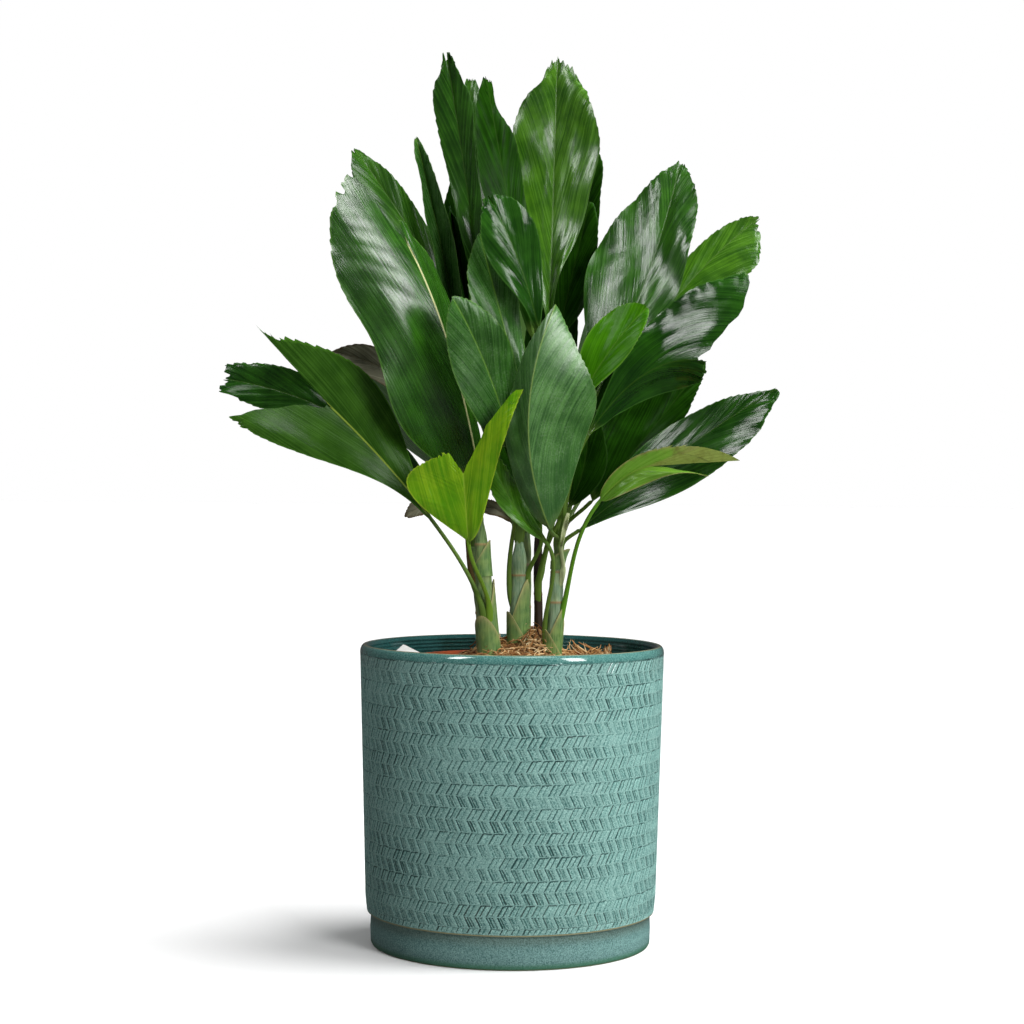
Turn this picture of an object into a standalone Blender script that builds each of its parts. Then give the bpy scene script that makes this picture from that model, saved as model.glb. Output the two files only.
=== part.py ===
"""A potted metallic palm: a glazed planter, the grower's pot inside it, soil, canes and leaves.

Metres, +Z up. The origin is the middle of the planter's flat underside, and the plant's best
side faces -Y. Each leaf is one closed body: its stalk runs on into the midrib, and the two
wings of the blade spread from that midrib along veins that end in teeth.
"""

import math
import random
from dataclasses import dataclass, field

import bmesh
import bpy
import numpy as np

# Driving dimensions of the planter
PLANTER_RADIUS = 0.120
PLANTER_HEIGHT = 0.2348
PLANTER_SHOULDER_RADIUS = 0.1145
PLANTER_SKIRT_RADIUS = 0.1133
PLANTER_WALL = 0.007
PLANTER_FLOOR = 0.010
FOOT_RADIUS = 0.110
FOOT_HEIGHT = 0.0254
FOOT_CHAMFER = 0.002
SKIRT_HEIGHT = 0.012
INSIDE_CORNER = 0.006
PLANTER_SEGMENTS = 48

# Driving dimensions of the grower's pot, the soil and the root mat
POT_RIM_RADIUS = 0.084
POT_BASE_RADIUS = 0.062
POT_TOP = 0.224
POT_WALL = 0.0016
POT_ROLL = 0.0030
POT_RIM_HEIGHT = 0.012
POT_RIM_ROUNDING = 0.001
POT_SEGMENTS = 32
SOIL_TOP = 0.216
MAT_RADIUS = 0.066
MAT_HEIGHT = 0.018
MAT_EDGE = 0.004
MAT_LUMPS = 0.002
MAT_SEGMENTS = 28
MAT_SEED = 11

# Driving dimensions of the label
LABEL_WIDTH = 0.020
LABEL_THICKNESS = 0.0009
LABEL_LENGTH = 0.075
LABEL_BURIED_SHARE = 0.76
LABEL_LEAN = math.radians(37)
LABEL_SIDEWAYS = -0.012

# Canes, stalks and blades
CLEARANCE = 0.0003
CANE_ROOT_DEPTH = 0.050
RING_SWELL = 1.13
RING_HALF_LENGTH = 0.0022
BLADE_THICKNESS = 0.0008
RIB_DEPTH = 0.0013
STALK_RADIUS = 0.0019
BASE_HALF_WIDTH = 0.0017
TIP_HALF_WIDTH = 0.0012
TOOTH_DEPTH = 0.07
TEETH_START = 0.35
VEIN_LEAN = 0.35
STALK_FOOT = 0.7
STALK_SPREAD = 0.10
STALK_LEAN = 0.16
STALK_STATIONS = 5
BLADE_STATIONS = 10
CANE_STATIONS = 6
# Angles of the ten points round a stalk: five over the top, then five back underneath
ROUND_ANGLES = np.radians([165, 130, 90, 50, 15, -15, -50, -90, -130, -165])
# Places across the blade, from the left margin through the midrib to the right margin
ACROSS = np.array([-1.0, -0.5, 0.0, 0.5, 1.0])

# Colours as sRGB hex, with roughness
TONES = {
    "glaze": ("5f958c", 0.18),
    "terracotta": ("9a5b3c", 0.55),
    "soil": ("33271d", 0.95),
    "coir": ("9a8257", 0.90),
    "label": ("f2f2ee", 0.45),
    "cane": ("4d5a2c", 0.50),
    "dark_cane": ("3a2618", 0.55),
    "deep": ("26402f", 0.38),
    "mid": ("3d5c45", 0.38),
    "powdery": ("5b7564", 0.42),
    "bright": ("5a8048", 0.40),
    "young": ("8fa03f", 0.42),
    "withered": ("7c6b58", 0.70),
}


@dataclass(frozen=True)
class Cane:
    """A short ringed stem: its foot on the soil, its top, its radii and its rings."""

    name: str
    foot: tuple
    top: tuple
    foot_radius: float
    top_radius: float
    rings: tuple = ()
    tone: str = "cane"


@dataclass(frozen=True)
class Wing:
    """One half of a blade, spread from the midrib along its veins.

    reach is its width, fold its angle up from the blade's flat in degrees, out and on how far
    its apex lies beside and past the midrib's end, peak the place along the midrib where it is
    broadest, blunt how slowly it narrows (smaller is blunter) and bow how far the veins bulge.
    """

    reach: float
    fold: float = 12
    out: float = 0.0
    on: float = 0.0
    peak: float = 0.55
    blunt: float = 0.8
    bow: float = 0.06


@dataclass(frozen=True)
class Leaf:
    """A leaf: the cane and the place it grows from, its midrib's three points and its wings.

    height is where the stalk leaves the cane, or None for the cane's top, and heading is the
    stalk's side of the cane in degrees from -Y towards +X. turn and tilt say where the blade's
    face looks: degrees from -Y towards +X, and degrees up.
    """

    name: str
    cane: str
    height: float
    heading: float
    base: tuple
    middle: tuple
    tip: tuple
    left: Wing
    right: Wing
    turn: float = 0
    tilt: float = 15
    twist: float = 0
    droop: float = 0.10
    wave: float = 0.0025
    tone: str = "mid"
    stalk_radius: float = field(default=STALK_RADIUS)


CANES = (
    Cane("cane_left", (-0.017, -0.016), (-0.026, -0.018, 0.334), 0.0090, 0.0048, (0.26, 0.48, 0.68)),
    Cane("cane_middle", (0.005, 0.006), (0.005, 0.006, 0.322), 0.0096, 0.0048, (0.25, 0.50, 0.72)),
    Cane("cane_right", (0.031, -0.012), (0.036, -0.014, 0.312), 0.0070, 0.0046, (0.42, 0.72)),
    Cane("cane_dark", (0.021, 0.030), (0.020, 0.030, 0.330), 0.0038, 0.0032, (0.5,), "dark_cane"),
    Cane("cane_green", (0.011, 0.050), (0.011, 0.052, 0.330), 0.0044, 0.0040, (0.4, 0.7)),
    Cane("cane_rear_left", (-0.020, 0.040), (-0.032, 0.046, 0.318), 0.0056, 0.0046, (0.4, 0.7)),
    Cane("cane_rear_right", (0.034, 0.038), (0.037, 0.046, 0.314), 0.0056, 0.0046, (0.4, 0.7)),
)

LEAVES = (
    # The left-hand side
    Leaf("leaf_big_left", "cane_left", None, 180, (-0.026, -0.026, 0.366), (-0.047, -0.058, 0.459),
         (-0.075, -0.086, 0.537), Wing(0.067, 8, 0.026, 0.074, 0.42, 0.65, 0.08),
         Wing(0.045, -72, 0.002, 0.025), tone="mid"),
    Leaf("leaf_upper_left", "cane_rear_left", None, 25, (-0.041, 0.036, 0.481),
         (-0.082, 0.028, 0.560), (-0.130, 0.020, 0.629), Wing(0.026), Wing(0.020, peak=0.5), turn=30,
         tone="bright"),
    Leaf("leaf_pale_left", "cane_middle", None, 235, (-0.043, 0.026, 0.471), (-0.062, 0.022, 0.565),
         (-0.080, 0.014, 0.638), Wing(0.015, 66), Wing(0.015, 66), tone="powdery"),
    Leaf("leaf_slim_left", "cane_middle", None, 175, (-0.035, 0.038, 0.480),
         (-0.044, 0.036, 0.538), (-0.053, 0.034, 0.585), Wing(0.014, 74), Wing(0.014, 74),
         tone="deep"),
    Leaf("leaf_arching_left", "cane_left", 0.262, 340, (-0.067, -0.030, 0.338),
         (-0.101, -0.040, 0.379), (-0.142, -0.050, 0.421), Wing(0.014, 10, 0.062, 0.055, 0.7),
         Wing(0.034, 10, 0.002, 0.080), tone="mid"),
    Leaf("leaf_shaded_left", "cane_rear_left", None, 326, (-0.074, 0.014, 0.370),
         (-0.150, 0.020, 0.426), (-0.228, 0.024, 0.443), Wing(0.022, out=0.010),
         Wing(0.011, out=0.008), tilt=35, tone="mid"),
    Leaf("leaf_rolled_left", "cane_rear_left", None, 268, (-0.055, 0.056, 0.405),
         (-0.100, 0.060, 0.450), (-0.150, 0.062, 0.468), Wing(0.013, 60), Wing(0.013, 60),
         tone="withered"),
    Leaf("leaf_young_left", "cane_left", 0.262, 20, (-0.034, -0.064, 0.318),
         (-0.036, -0.070, 0.341), (-0.038, -0.074, 0.364), Wing(0.034, 10, 0.014, 0.022),
         Wing(0.010, 10, 0.045, 0.070), tone="young"),
    Leaf("leaf_withered_left", "cane_rear_left", 0.285, 300, (-0.052, 0.020, 0.348),
         (-0.068, 0.010, 0.345), (-0.084, 0.000, 0.335), Wing(0.007, 40), Wing(0.007, 40),
         tone="withered"),
    # The tall middle
    Leaf("leaf_tall_left", "cane_middle", None, 295, (-0.023, 0.008, 0.480),
         (-0.038, 0.000, 0.594), (-0.055, -0.008, 0.701), Wing(0.014, 20, peak=0.72),
         Wing(0.016, 20, peak=0.70), turn=-30, tone="powdery"),
    Leaf("leaf_tall_left_rear", "cane_green", None, 310, (-0.021, 0.054, 0.482),
         (-0.034, 0.058, 0.592), (-0.037, 0.056, 0.692), Wing(0.017, 20), Wing(0.012, 20),
         turn=30, tone="powdery"),
    Leaf("leaf_tall_middle", "cane_dark", None, 300, (0.014, 0.022, 0.485),
         (-0.006, 0.018, 0.589), (-0.024, 0.012, 0.686), Wing(0.019, 10, peak=0.6),
         Wing(0.012, 10, peak=0.6), turn=25, tone="deep"),
    Leaf("leaf_tall_right", "cane_dark", None, 60, (0.028, 0.026, 0.484), (0.031, 0.044, 0.600),
         (0.034, 0.060, 0.708), Wing(0.038, 12, peak=0.62, blunt=1.3), Wing(0.043, 12, peak=0.60),
         turn=-25, tone="bright"),
    Leaf("leaf_olive_right", "cane_green", None, 20, (0.030, 0.062, 0.491), (0.050, 0.070, 0.563),
         (0.068, 0.074, 0.634), Wing(0.014), Wing(0.016), turn=-30, tone="deep"),
    Leaf("leaf_dark_right", "cane_dark", None, 180, (0.034, 0.046, 0.474), (0.048, 0.054, 0.536),
         (0.061, 0.056, 0.592), Wing(0.013), Wing(0.017), turn=-30, tone="deep"),
    Leaf("leaf_centre_upper", "cane_middle", None, 85, (0.019, -0.018, 0.483),
         (0.005, -0.034, 0.532), (-0.013, -0.056, 0.581), Wing(0.019, 10, 0.006, 0.0, 0.6),
         Wing(0.020, 10, 0.006, 0.0, 0.6), turn=-20, tone="mid"),
    Leaf("leaf_centre_dark", "cane_middle", None, 10, (0.009, -0.008, 0.426),
         (-0.011, -0.012, 0.495), (-0.028, -0.014, 0.558), Wing(0.022), Wing(0.018), turn=25, tone="deep"),
    Leaf("leaf_powder_left", "cane_middle", 0.276, 280, (0.000, -0.056, 0.389),
         (-0.020, -0.076, 0.449), (-0.040, -0.102, 0.498), Wing(0.025, 8), Wing(0.023, 8),
         turn=15, tone="powdery"),
    Leaf("leaf_front_centre", "cane_right", None, 340, (0.028, -0.056, 0.328),
         (0.011, -0.088, 0.410), (0.031, -0.084, 0.497), Wing(0.022, 25, peak=0.4),
         Wing(0.054, 10, peak=0.38), tone="powdery"),
    Leaf("leaf_inner_left", "cane_green", None, 240, (-0.030, 0.066, 0.470),
         (-0.042, 0.070, 0.540), (-0.052, 0.070, 0.610), Wing(0.018), Wing(0.014), turn=30, tone="deep"),
    Leaf("leaf_inner_centre", "cane_green", None, 95, (0.022, 0.070, 0.400),
         (0.030, 0.076, 0.470), (0.036, 0.080, 0.545), Wing(0.024), Wing(0.024), turn=-25, tone="deep"),
    # The right-hand side
    Leaf("leaf_bright_right", "cane_right", None, 45, (0.049, -0.046, 0.423),
         (0.074, -0.050, 0.465), (0.102, -0.050, 0.498), Wing(0.022), Wing(0.014), turn=-25,
         tone="bright"),
    Leaf("leaf_broad_right", "cane_dark", 0.296, 80, (0.069, -0.006, 0.441),
         (0.108, 0.010, 0.534), (0.133, 0.036, 0.623), Wing(0.050, 8, peak=0.40, blunt=0.9),
         Wing(0.028, 8, peak=0.50), turn=-25, tone="mid"),
    Leaf("leaf_upper_right", "cane_rear_right", None, 60, (0.085, 0.032, 0.452),
         (0.144, 0.042, 0.528), (0.200, 0.048, 0.580), Wing(0.015, 8, peak=0.6),
         Wing(0.024, 8, 0.014, -0.014, 0.65), tone="mid"),
    Leaf("leaf_glossy_right", "cane_right", None, 178, (0.060, -0.026, 0.403),
         (0.101, -0.038, 0.447), (0.143, -0.058, 0.457), Wing(0.010, 6, 0.077, 0.022, bow=0.13),
         Wing(0.030, -56, 0.0, 0.006), tone="powdery"),
    Leaf("leaf_inner_right", "cane_rear_right", None, 300, (0.047, 0.056, 0.370),
         (0.070, 0.060, 0.440), (0.090, 0.062, 0.505), Wing(0.024), Wing(0.025), turn=-30, tone="deep"),
    Leaf("leaf_striped_right", "cane_rear_right", None, 0, (0.063, 0.010, 0.349),
         (0.110, 0.014, 0.405), (0.152, 0.018, 0.460), Wing(0.018), Wing(0.018), turn=-20,
         tilt=25, tone="deep"),
    Leaf("leaf_lower_right", "cane_right", None, 110, (0.052, -0.024, 0.326),
         (0.129, -0.048, 0.387), (0.199, -0.076, 0.435), Wing(0.023, 8, peak=0.55),
         Wing(0.031, 8, peak=0.6), tilt=35, tone="mid"),
    Leaf("leaf_young_right", "cane_right", 0.262, 70, (0.067, -0.064, 0.350),
         (0.086, -0.070, 0.368), (0.106, -0.074, 0.376), Wing(0.002, 20, -0.008, 0.074),
         Wing(0.010, 20, 0.015, 0.045), tone="young"),
    # Small ones in front of the canes and between them
    Leaf("leaf_narrow_front", "cane_right", 0.242, 280, (0.023, -0.040, 0.319),
         (-0.003, -0.050, 0.351), (-0.020, -0.054, 0.393), Wing(0.009), Wing(0.009), tone="mid"),
    Leaf("leaf_pale_rib", "cane_middle", 0.288, 80, (0.021, -0.014, 0.325),
         (0.006, -0.014, 0.359), (-0.010, -0.014, 0.396), Wing(0.013), Wing(0.011), turn=20, tone="deep"),
    Leaf("leaf_behind_front", "cane_dark", 0.280, 0, (0.044, -0.004, 0.345),
         (0.056, -0.012, 0.378), (0.059, -0.014, 0.424), Wing(0.013), Wing(0.016), turn=-25, tone="deep"),
    Leaf("leaf_spear", "cane_right", 0.294, 50, (0.043, -0.023, 0.318), (0.045, -0.026, 0.331),
         (0.048, -0.027, 0.345), Wing(0.0016, 60), Wing(0.0016, 60), tone="young",
         stalk_radius=0.0014),
    Leaf("leaf_withered_rear", "cane_green", 0.306, 270, (-0.002, 0.044, 0.332),
         (-0.015, 0.042, 0.341), (-0.029, 0.040, 0.344), Wing(0.007, 30), Wing(0.006, 30),
         tone="withered"),
    # The back
    Leaf("leaf_rear_low_left", "cane_rear_left", None, 210, (-0.062, 0.082, 0.370),
         (-0.105, 0.122, 0.420), (-0.150, 0.150, 0.448), Wing(0.026), Wing(0.026), turn=150,
         tilt=40, tone="mid"),
    Leaf("leaf_rear_left", "cane_rear_left", None, 150, (-0.045, 0.080, 0.420),
         (-0.066, 0.116, 0.490), (-0.088, 0.138, 0.550), Wing(0.032), Wing(0.032), turn=165,
         tilt=30, tone="mid"),
    Leaf("leaf_rear_centre", "cane_green", None, 170, (0.002, 0.084, 0.440),
         (0.002, 0.112, 0.530), (-0.004, 0.130, 0.610), Wing(0.034), Wing(0.034), turn=180,
         tilt=25, tone="bright"),
    Leaf("leaf_rear_right", "cane_rear_right", None, 180, (0.052, 0.086, 0.420),
         (0.080, 0.118, 0.486), (0.108, 0.138, 0.530), Wing(0.030), Wing(0.030), turn=195,
         tilt=30, tone="mid"),
    Leaf("leaf_rear_low_right", "cane_rear_right", None, 120, (0.072, 0.074, 0.372),
         (0.112, 0.108, 0.415), (0.150, 0.134, 0.442), Wing(0.024), Wing(0.024), turn=210,
         tilt=40, tone="mid"),
    Leaf("leaf_rear_low", "cane_green", 0.300, 180, (0.012, 0.096, 0.350), (0.014, 0.140, 0.395),
         (0.016, 0.178, 0.418), Wing(0.028), Wing(0.028), turn=180, tilt=45, tone="bright"),
)


def linear(hex_colour):
    """The sRGB hex colour as linear red, green, blue and alpha."""
    parts = [int(hex_colour[i:i + 2], 16) / 255 for i in (0, 2, 4)]
    return [c / 12.92 if c < 0.04045 else ((c + 0.055) / 1.055) ** 2.4 for c in parts] + [1.0]


def material(tone):
    """The Principled material of a named tone, made once."""
    if tone in bpy.data.materials:
        return bpy.data.materials[tone]
    colour, roughness = TONES[tone]
    made = bpy.data.materials.new(tone)
    made.use_nodes = True
    shader = made.node_tree.nodes["Principled BSDF"]
    shader.inputs["Base Color"].default_value = linear(colour)
    shader.inputs["Roughness"].default_value = roughness
    shader.inputs["Metallic"].default_value = 0.0
    return made


def add_object(name, mesh, tone):
    """A named object for a mesh, with smooth shading and its material."""
    mesh.materials.append(material(tone))
    mesh.shade_smooth()
    mesh.set_sharp_from_angle(angle=math.radians(40))
    made = bpy.data.objects.new(name, mesh)
    bpy.context.scene.collection.objects.link(made)
    return made


def turned(name, profile, segments, tone):
    """A solid turned about the Z axis from a profile of (radius, height) points."""
    bm = bmesh.new()
    corners = [bm.verts.new((radius, 0, height)) for radius, height in profile]
    edges = [bm.edges.new(pair) for pair in zip(corners, corners[1:])]
    bmesh.ops.spin(bm, geom=corners + edges, cent=(0, 0, 0), axis=(0, 0, 1),
                   angle=2 * math.pi, steps=segments)
    bmesh.ops.remove_doubles(bm, verts=bm.verts, dist=1e-6)
    bmesh.ops.recalc_face_normals(bm, faces=bm.faces)
    mesh = bpy.data.meshes.new(name)
    bm.to_mesh(mesh)
    bm.free()
    return add_object(name, mesh, tone)


def strip_faces(stations, half):
    """Triangles of a loft whose loops hold half points over the top and half back underneath.

    Facing quads on the top and the underside are split the same way, so a thin curved blade
    can't cross itself.
    """
    count = 2 * half
    faces = []
    for i in range(stations - 1):
        for j in range(count):
            k = (j + 1) % count
            near, near_next = i * count + j, i * count + k
            far, far_next = near + count, near_next + count
            if j < half:
                faces += [(near, near_next, far_next), (near, far_next, far)]
            else:
                faces += [(near, near_next, far), (near_next, far_next, far)]
    for i, flip in ((0, True), (stations - 1, False)):
        start = i * count
        for j in range(half - 1):
            a, b = start + j, start + j + 1
            c, d = start + count - 2 - j, start + count - 1 - j
            pair = [(a, b, c), (a, c, d)]
            faces += [face[::-1] for face in pair] if flip else pair
    return faces


def lofted(name, loops, tone):
    """A closed solid through a row of loops, an array of (station, point, xyz)."""
    stations, count, _ = loops.shape
    points = loops.reshape(-1, 3)
    faces = np.array(strip_faces(stations, count // 2))
    a, b, c = points[faces].transpose(1, 0, 2)
    if (a * np.cross(b, c)).sum() < 0:
        faces = faces[:, ::-1]
    mesh = bpy.data.meshes.new(name)
    mesh.from_pydata(points.tolist(), [], faces.tolist())
    return add_object(name, mesh, tone)


def unit(vectors):
    """The vectors, each scaled to length one."""
    return vectors / np.linalg.norm(vectors, axis=-1, keepdims=True)


def bearing(degrees, lift=0.0):
    """The direction that many degrees from -Y towards +X, lifted from level by lift degrees."""
    flat, up = math.radians(degrees), math.radians(lift)
    return np.array([math.sin(flat) * math.cos(up), -math.cos(flat) * math.cos(up), math.sin(up)])


def cane_point(cane, height):
    """The cane's axis at a height, and its radius there, rings aside."""
    foot = np.array([*cane.foot, SOIL_TOP])
    top = np.array(cane.top)
    share = (height - foot[2]) / (top[2] - foot[2])
    radius = cane.foot_radius + (cane.top_radius - cane.foot_radius) * max(share, 0.0)
    return foot + (top - foot) * share, radius


def cane_heights(cane):
    """Heights of the cane's loops: even ones, and three to each ring."""
    length = cane.top[2] - SOIL_TOP
    even = np.linspace(SOIL_TOP, cane.top[2], CANE_STATIONS)
    rings = [SOIL_TOP + ring * length for ring in cane.rings]
    apart = [h for h in even if all(abs(h - r) > 2 * RING_HALF_LENGTH for r in rings)]
    around = [r + step * RING_HALF_LENGTH for r in rings for step in (-1, 0, 1)]
    return sorted(apart + around + [SOIL_TOP - CANE_ROOT_DEPTH]), rings


def cane_loops(cane, margin=0.0):
    """The cane's loops, made wider and deeper by margin for the holes that it stands in."""
    heights, rings = cane_heights(cane)
    loops = []
    for height in heights:
        centre, radius = cane_point(cane, height)
        if height in rings:
            radius *= RING_SWELL
        radius += margin
        across = np.cos(ROUND_ANGLES)[:, None] * np.array([1.0, 0, 0])
        along = np.sin(ROUND_ANGLES)[:, None] * np.array([0, 1.0, 0])
        loops.append(centre + radius * (across + along))
    if margin:
        loops[0][:, 2] -= margin
    return np.array(loops)


def stalk_start(leaf, cane):
    """Where the stalk's middle meets the cane, and the direction in which it leaves it.

    It lies clear of the cane's side, or stands on the cane's level top, lifted until the low
    edge of its slanting foot is clear.
    """
    outward = bearing(leaf.heading)
    centre, radius = cane_point(cane, leaf.height or cane.top[2])
    rise = unit(centre - cane_point(cane, SOIL_TOP)[0])
    towards = unit((np.array(leaf.base) - centre) * [1, 1, 0])
    start = unit(rise + STALK_SPREAD * outward + STALK_LEAN * towards)
    if leaf.height:
        seat = radius + STALK_FOOT * leaf.stalk_radius + CLEARANCE
        return centre + outward * seat, start
    lift = leaf.stalk_radius * math.hypot(start[0], start[1]) + CLEARANCE
    return centre + outward * (radius - 0.3 * leaf.stalk_radius) + [0, 0, lift], start


def stalk_curve(foot, start, base, direction):
    """Points and directions of the stalk: a cubic from its foot, rising, into the blade's base."""
    t = np.linspace(0, 1, STALK_STATIONS)[:, None]
    reach = np.linalg.norm(base - foot) / 3
    a, b, c, d = foot, foot + start * reach, base - direction * reach, base
    points = (1 - t)**3 * a + 3 * t * (1 - t)**2 * b + 3 * t**2 * (1 - t) * c + t**3 * d
    slopes = (1 - t)**2 * (b - a) + 2 * t * (1 - t) * (c - b) + t**2 * (d - c)
    return points[:-1], unit(slopes)[:-1]


def stalk_loops(leaf, cane, base, direction, side):
    """Ten-sided loops of the stalk, broad where it clasps the cane."""
    foot, start = stalk_start(leaf, cane)
    points, along = stalk_curve(foot, start, base, direction)
    across = unit(side - (along @ side)[:, None] * along)
    over = np.cross(across, along)
    radius = leaf.stalk_radius * np.linspace(1.0, 0.85, len(points))[:, None, None]
    radius[0] *= STALK_FOOT
    ring = (np.cos(ROUND_ANGLES)[None, :, None] * across[:, None]
            + np.sin(ROUND_ANGLES)[None, :, None] * over[:, None])
    return points[:, None] + radius * ring


def blade_places():
    """Places along the midrib from 0 to 1, closer together towards the tip."""
    return 1 - (1 - np.linspace(0, 1, BLADE_STATIONS)) ** 1.25


def midrib(leaf):
    """Points and directions of the midrib: the quadratic through its base, middle and tip."""
    s = blade_places()[:, None]
    base, middle, tip = (np.array(p) for p in (leaf.base, leaf.middle, leaf.tip))
    bend = 2 * middle - (base + tip) / 2
    points = (1 - s)**2 * base + 2 * s * (1 - s) * bend + s**2 * tip
    return points, unit((1 - s) * (bend - base) + s * (tip - bend))


def wing_spread(wing, s):
    """How far the veins of a wing reach out from the midrib and on along it, at places s."""
    swell = np.sin(math.pi * s ** (math.log(0.5) / math.log(wing.peak))) ** wing.blunt
    plain = BASE_HALF_WIDTH + (TIP_HALF_WIDTH - BASE_HALF_WIDTH) * s
    out = plain + wing.reach * swell + wing.out * s**2
    return out, VEIN_LEAN * wing.reach * swell + wing.on * s**1.5


def blade_loops(leaf):
    """Loops of the blade from its base to its tip, each running out along a pair of veins.

    A point lies at midrib + t (out times the wing's slope + on times the midrib's direction),
    less a droop and a wave that grow with t, t being 0 at the midrib and 1 at the margin. Every
    other margin point past TEETH_START is drawn in, which cuts the teeth.
    """
    points, along = midrib(leaf)
    s = blade_places()
    side = unit(np.cross(along, bearing(leaf.turn, leaf.tilt)))
    over = np.cross(side, along)
    spin = np.radians(leaf.twist * s)[:, None]
    side, over = (side * np.cos(spin) + over * np.sin(spin),
                  over * np.cos(spin) - side * np.sin(spin))
    drawn_in = (s > TEETH_START) & (np.arange(BLADE_STATIONS) % 2 == 0)
    teeth = np.where(drawn_in, 1 - TOOTH_DEPTH, 1.0)
    columns, normals = [], []
    for t in ACROSS:
        sign = -1 if t < 0 else 1
        wing = leaf.left if t < 0 else leaf.right
        fold = math.radians(wing.fold)
        out, on = wing_spread(wing, s)
        cut = teeth if abs(t) == 1 else 1.0
        slope = sign * side * math.cos(fold) + over * math.sin(fold)
        bow = leaf.wave * np.sin(3 * math.pi * s + sign) - leaf.droop * out * abs(t)
        bulge = wing.bow * np.hypot(out, on) * 4 * abs(t) * (1 - abs(t))
        place = points + (abs(t) * cut * out)[:, None] * slope
        place = place + (abs(t) * cut * on + bulge)[:, None] * along
        columns.append(place + (bow * abs(t))[:, None] * over)
        normals.append(over * math.cos(fold) - sign * side * math.sin(fold))
    left, right = normals[0], normals[-1]
    mitre = (left + right) / (1 + (left * right).sum(axis=1, keepdims=True))
    normals[2] = mitre
    columns, normals = np.array(columns), np.array(normals)
    top = columns + normals * BLADE_THICKNESS / 2
    under = columns - normals * BLADE_THICKNESS / 2
    under[2] -= (RIB_DEPTH * (1 - 0.75 * s))[:, None] * unit(mitre)
    return np.concatenate([top, under[::-1]]).transpose(1, 0, 2), side[0]


def build_leaf(leaf, canes):
    """A leaf as one closed body, stalk and blade."""
    blade, side = blade_loops(leaf)
    points, along = midrib(leaf)
    stalk = stalk_loops(leaf, canes[leaf.cane], points[0], along[0], side)
    return lofted(leaf.name, np.concatenate([stalk, blade]), leaf.tone)


def build_planter():
    """The glazed planter: a foot, a tapered wall with a rounded lip, and a flat floor."""
    lip = PLANTER_WALL / 2
    outer = PLANTER_RADIUS - lip
    rounding = [(outer + lip * math.cos(a), PLANTER_HEIGHT - lip + lip * math.sin(a))
                for a in np.radians([0, 45, 90, 135, 180])]
    inner_foot = PLANTER_SHOULDER_RADIUS - PLANTER_WALL - INSIDE_CORNER
    profile = [
        (0, 0),
        (FOOT_RADIUS - FOOT_CHAMFER, 0),
        (FOOT_RADIUS, FOOT_CHAMFER),
        (FOOT_RADIUS, FOOT_HEIGHT - FOOT_CHAMFER / 2),
        (PLANTER_SKIRT_RADIUS - FOOT_CHAMFER / 2, FOOT_HEIGHT),
        (PLANTER_SKIRT_RADIUS, FOOT_HEIGHT + FOOT_CHAMFER),
        (PLANTER_SHOULDER_RADIUS, FOOT_HEIGHT + SKIRT_HEIGHT),
        *rounding,
        (PLANTER_SHOULDER_RADIUS - PLANTER_WALL, FOOT_HEIGHT + SKIRT_HEIGHT),
        (inner_foot, PLANTER_FLOOR),
        (0, PLANTER_FLOOR),
    ]
    return turned("planter", profile, PLANTER_SEGMENTS, "glaze")


def pot_radius(height):
    """The grower's pot's outer radius at a height above its own base."""
    return POT_BASE_RADIUS + (POT_RIM_RADIUS - POT_BASE_RADIUS) * height / (POT_TOP - PLANTER_FLOOR)


def build_nursery_pot():
    """The grower's pot: a thin tapered plastic pot with a rolled rim."""
    low = PLANTER_FLOOR + CLEARANCE
    depth = POT_TOP - low
    neck = pot_radius(depth - POT_RIM_HEIGHT) - POT_ROLL / 2
    neck_height = POT_TOP - POT_RIM_HEIGHT
    profile = [
        (0, low),
        (POT_BASE_RADIUS, low),
        (neck, neck_height),
        (POT_RIM_RADIUS, neck_height + POT_RIM_ROUNDING / 2),
        (POT_RIM_RADIUS, POT_TOP - POT_RIM_ROUNDING),
        (POT_RIM_RADIUS - POT_RIM_ROUNDING, POT_TOP),
        (POT_RIM_RADIUS - POT_ROLL, POT_TOP),
        (neck - POT_WALL, neck_height),
        (POT_BASE_RADIUS - POT_WALL, low + POT_WALL),
        (0, low + POT_WALL),
    ]
    return turned("nursery_pot", profile, POT_SEGMENTS, "terracotta")


def hole_cutter(name, mesh_object):
    """Hides a cutter from the render and the build, and gives it back."""
    mesh_object.name = name
    mesh_object.hide_render = True
    mesh_object.display_type = "WIRE"
    return mesh_object


def cut_holes(body, cutters):
    """Cuts each cutter's shape out of a body."""
    for cutter in cutters:
        cut = body.modifiers.new("hole for " + cutter.name, "BOOLEAN")
        cut.operation = "DIFFERENCE"
        cut.object = cutter
    return body


def build_soil(cutters):
    """The soil plug that fills the grower's pot, with a plain hole for all that stands in it."""
    low = PLANTER_FLOOR + POT_WALL + 3 * CLEARANCE
    neck_height = POT_TOP - POT_RIM_HEIGHT
    outside = pot_radius(neck_height - PLANTER_FLOOR) - POT_ROLL / 2
    neck = outside - POT_WALL - 2 * CLEARANCE
    foot = POT_BASE_RADIUS - POT_WALL - 2 * CLEARANCE
    profile = [(0, low), (foot, low), (neck, neck_height), (neck, SOIL_TOP), (0, SOIL_TOP)]
    return cut_holes(turned("soil", profile, POT_SEGMENTS, "soil"), cutters)


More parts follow.
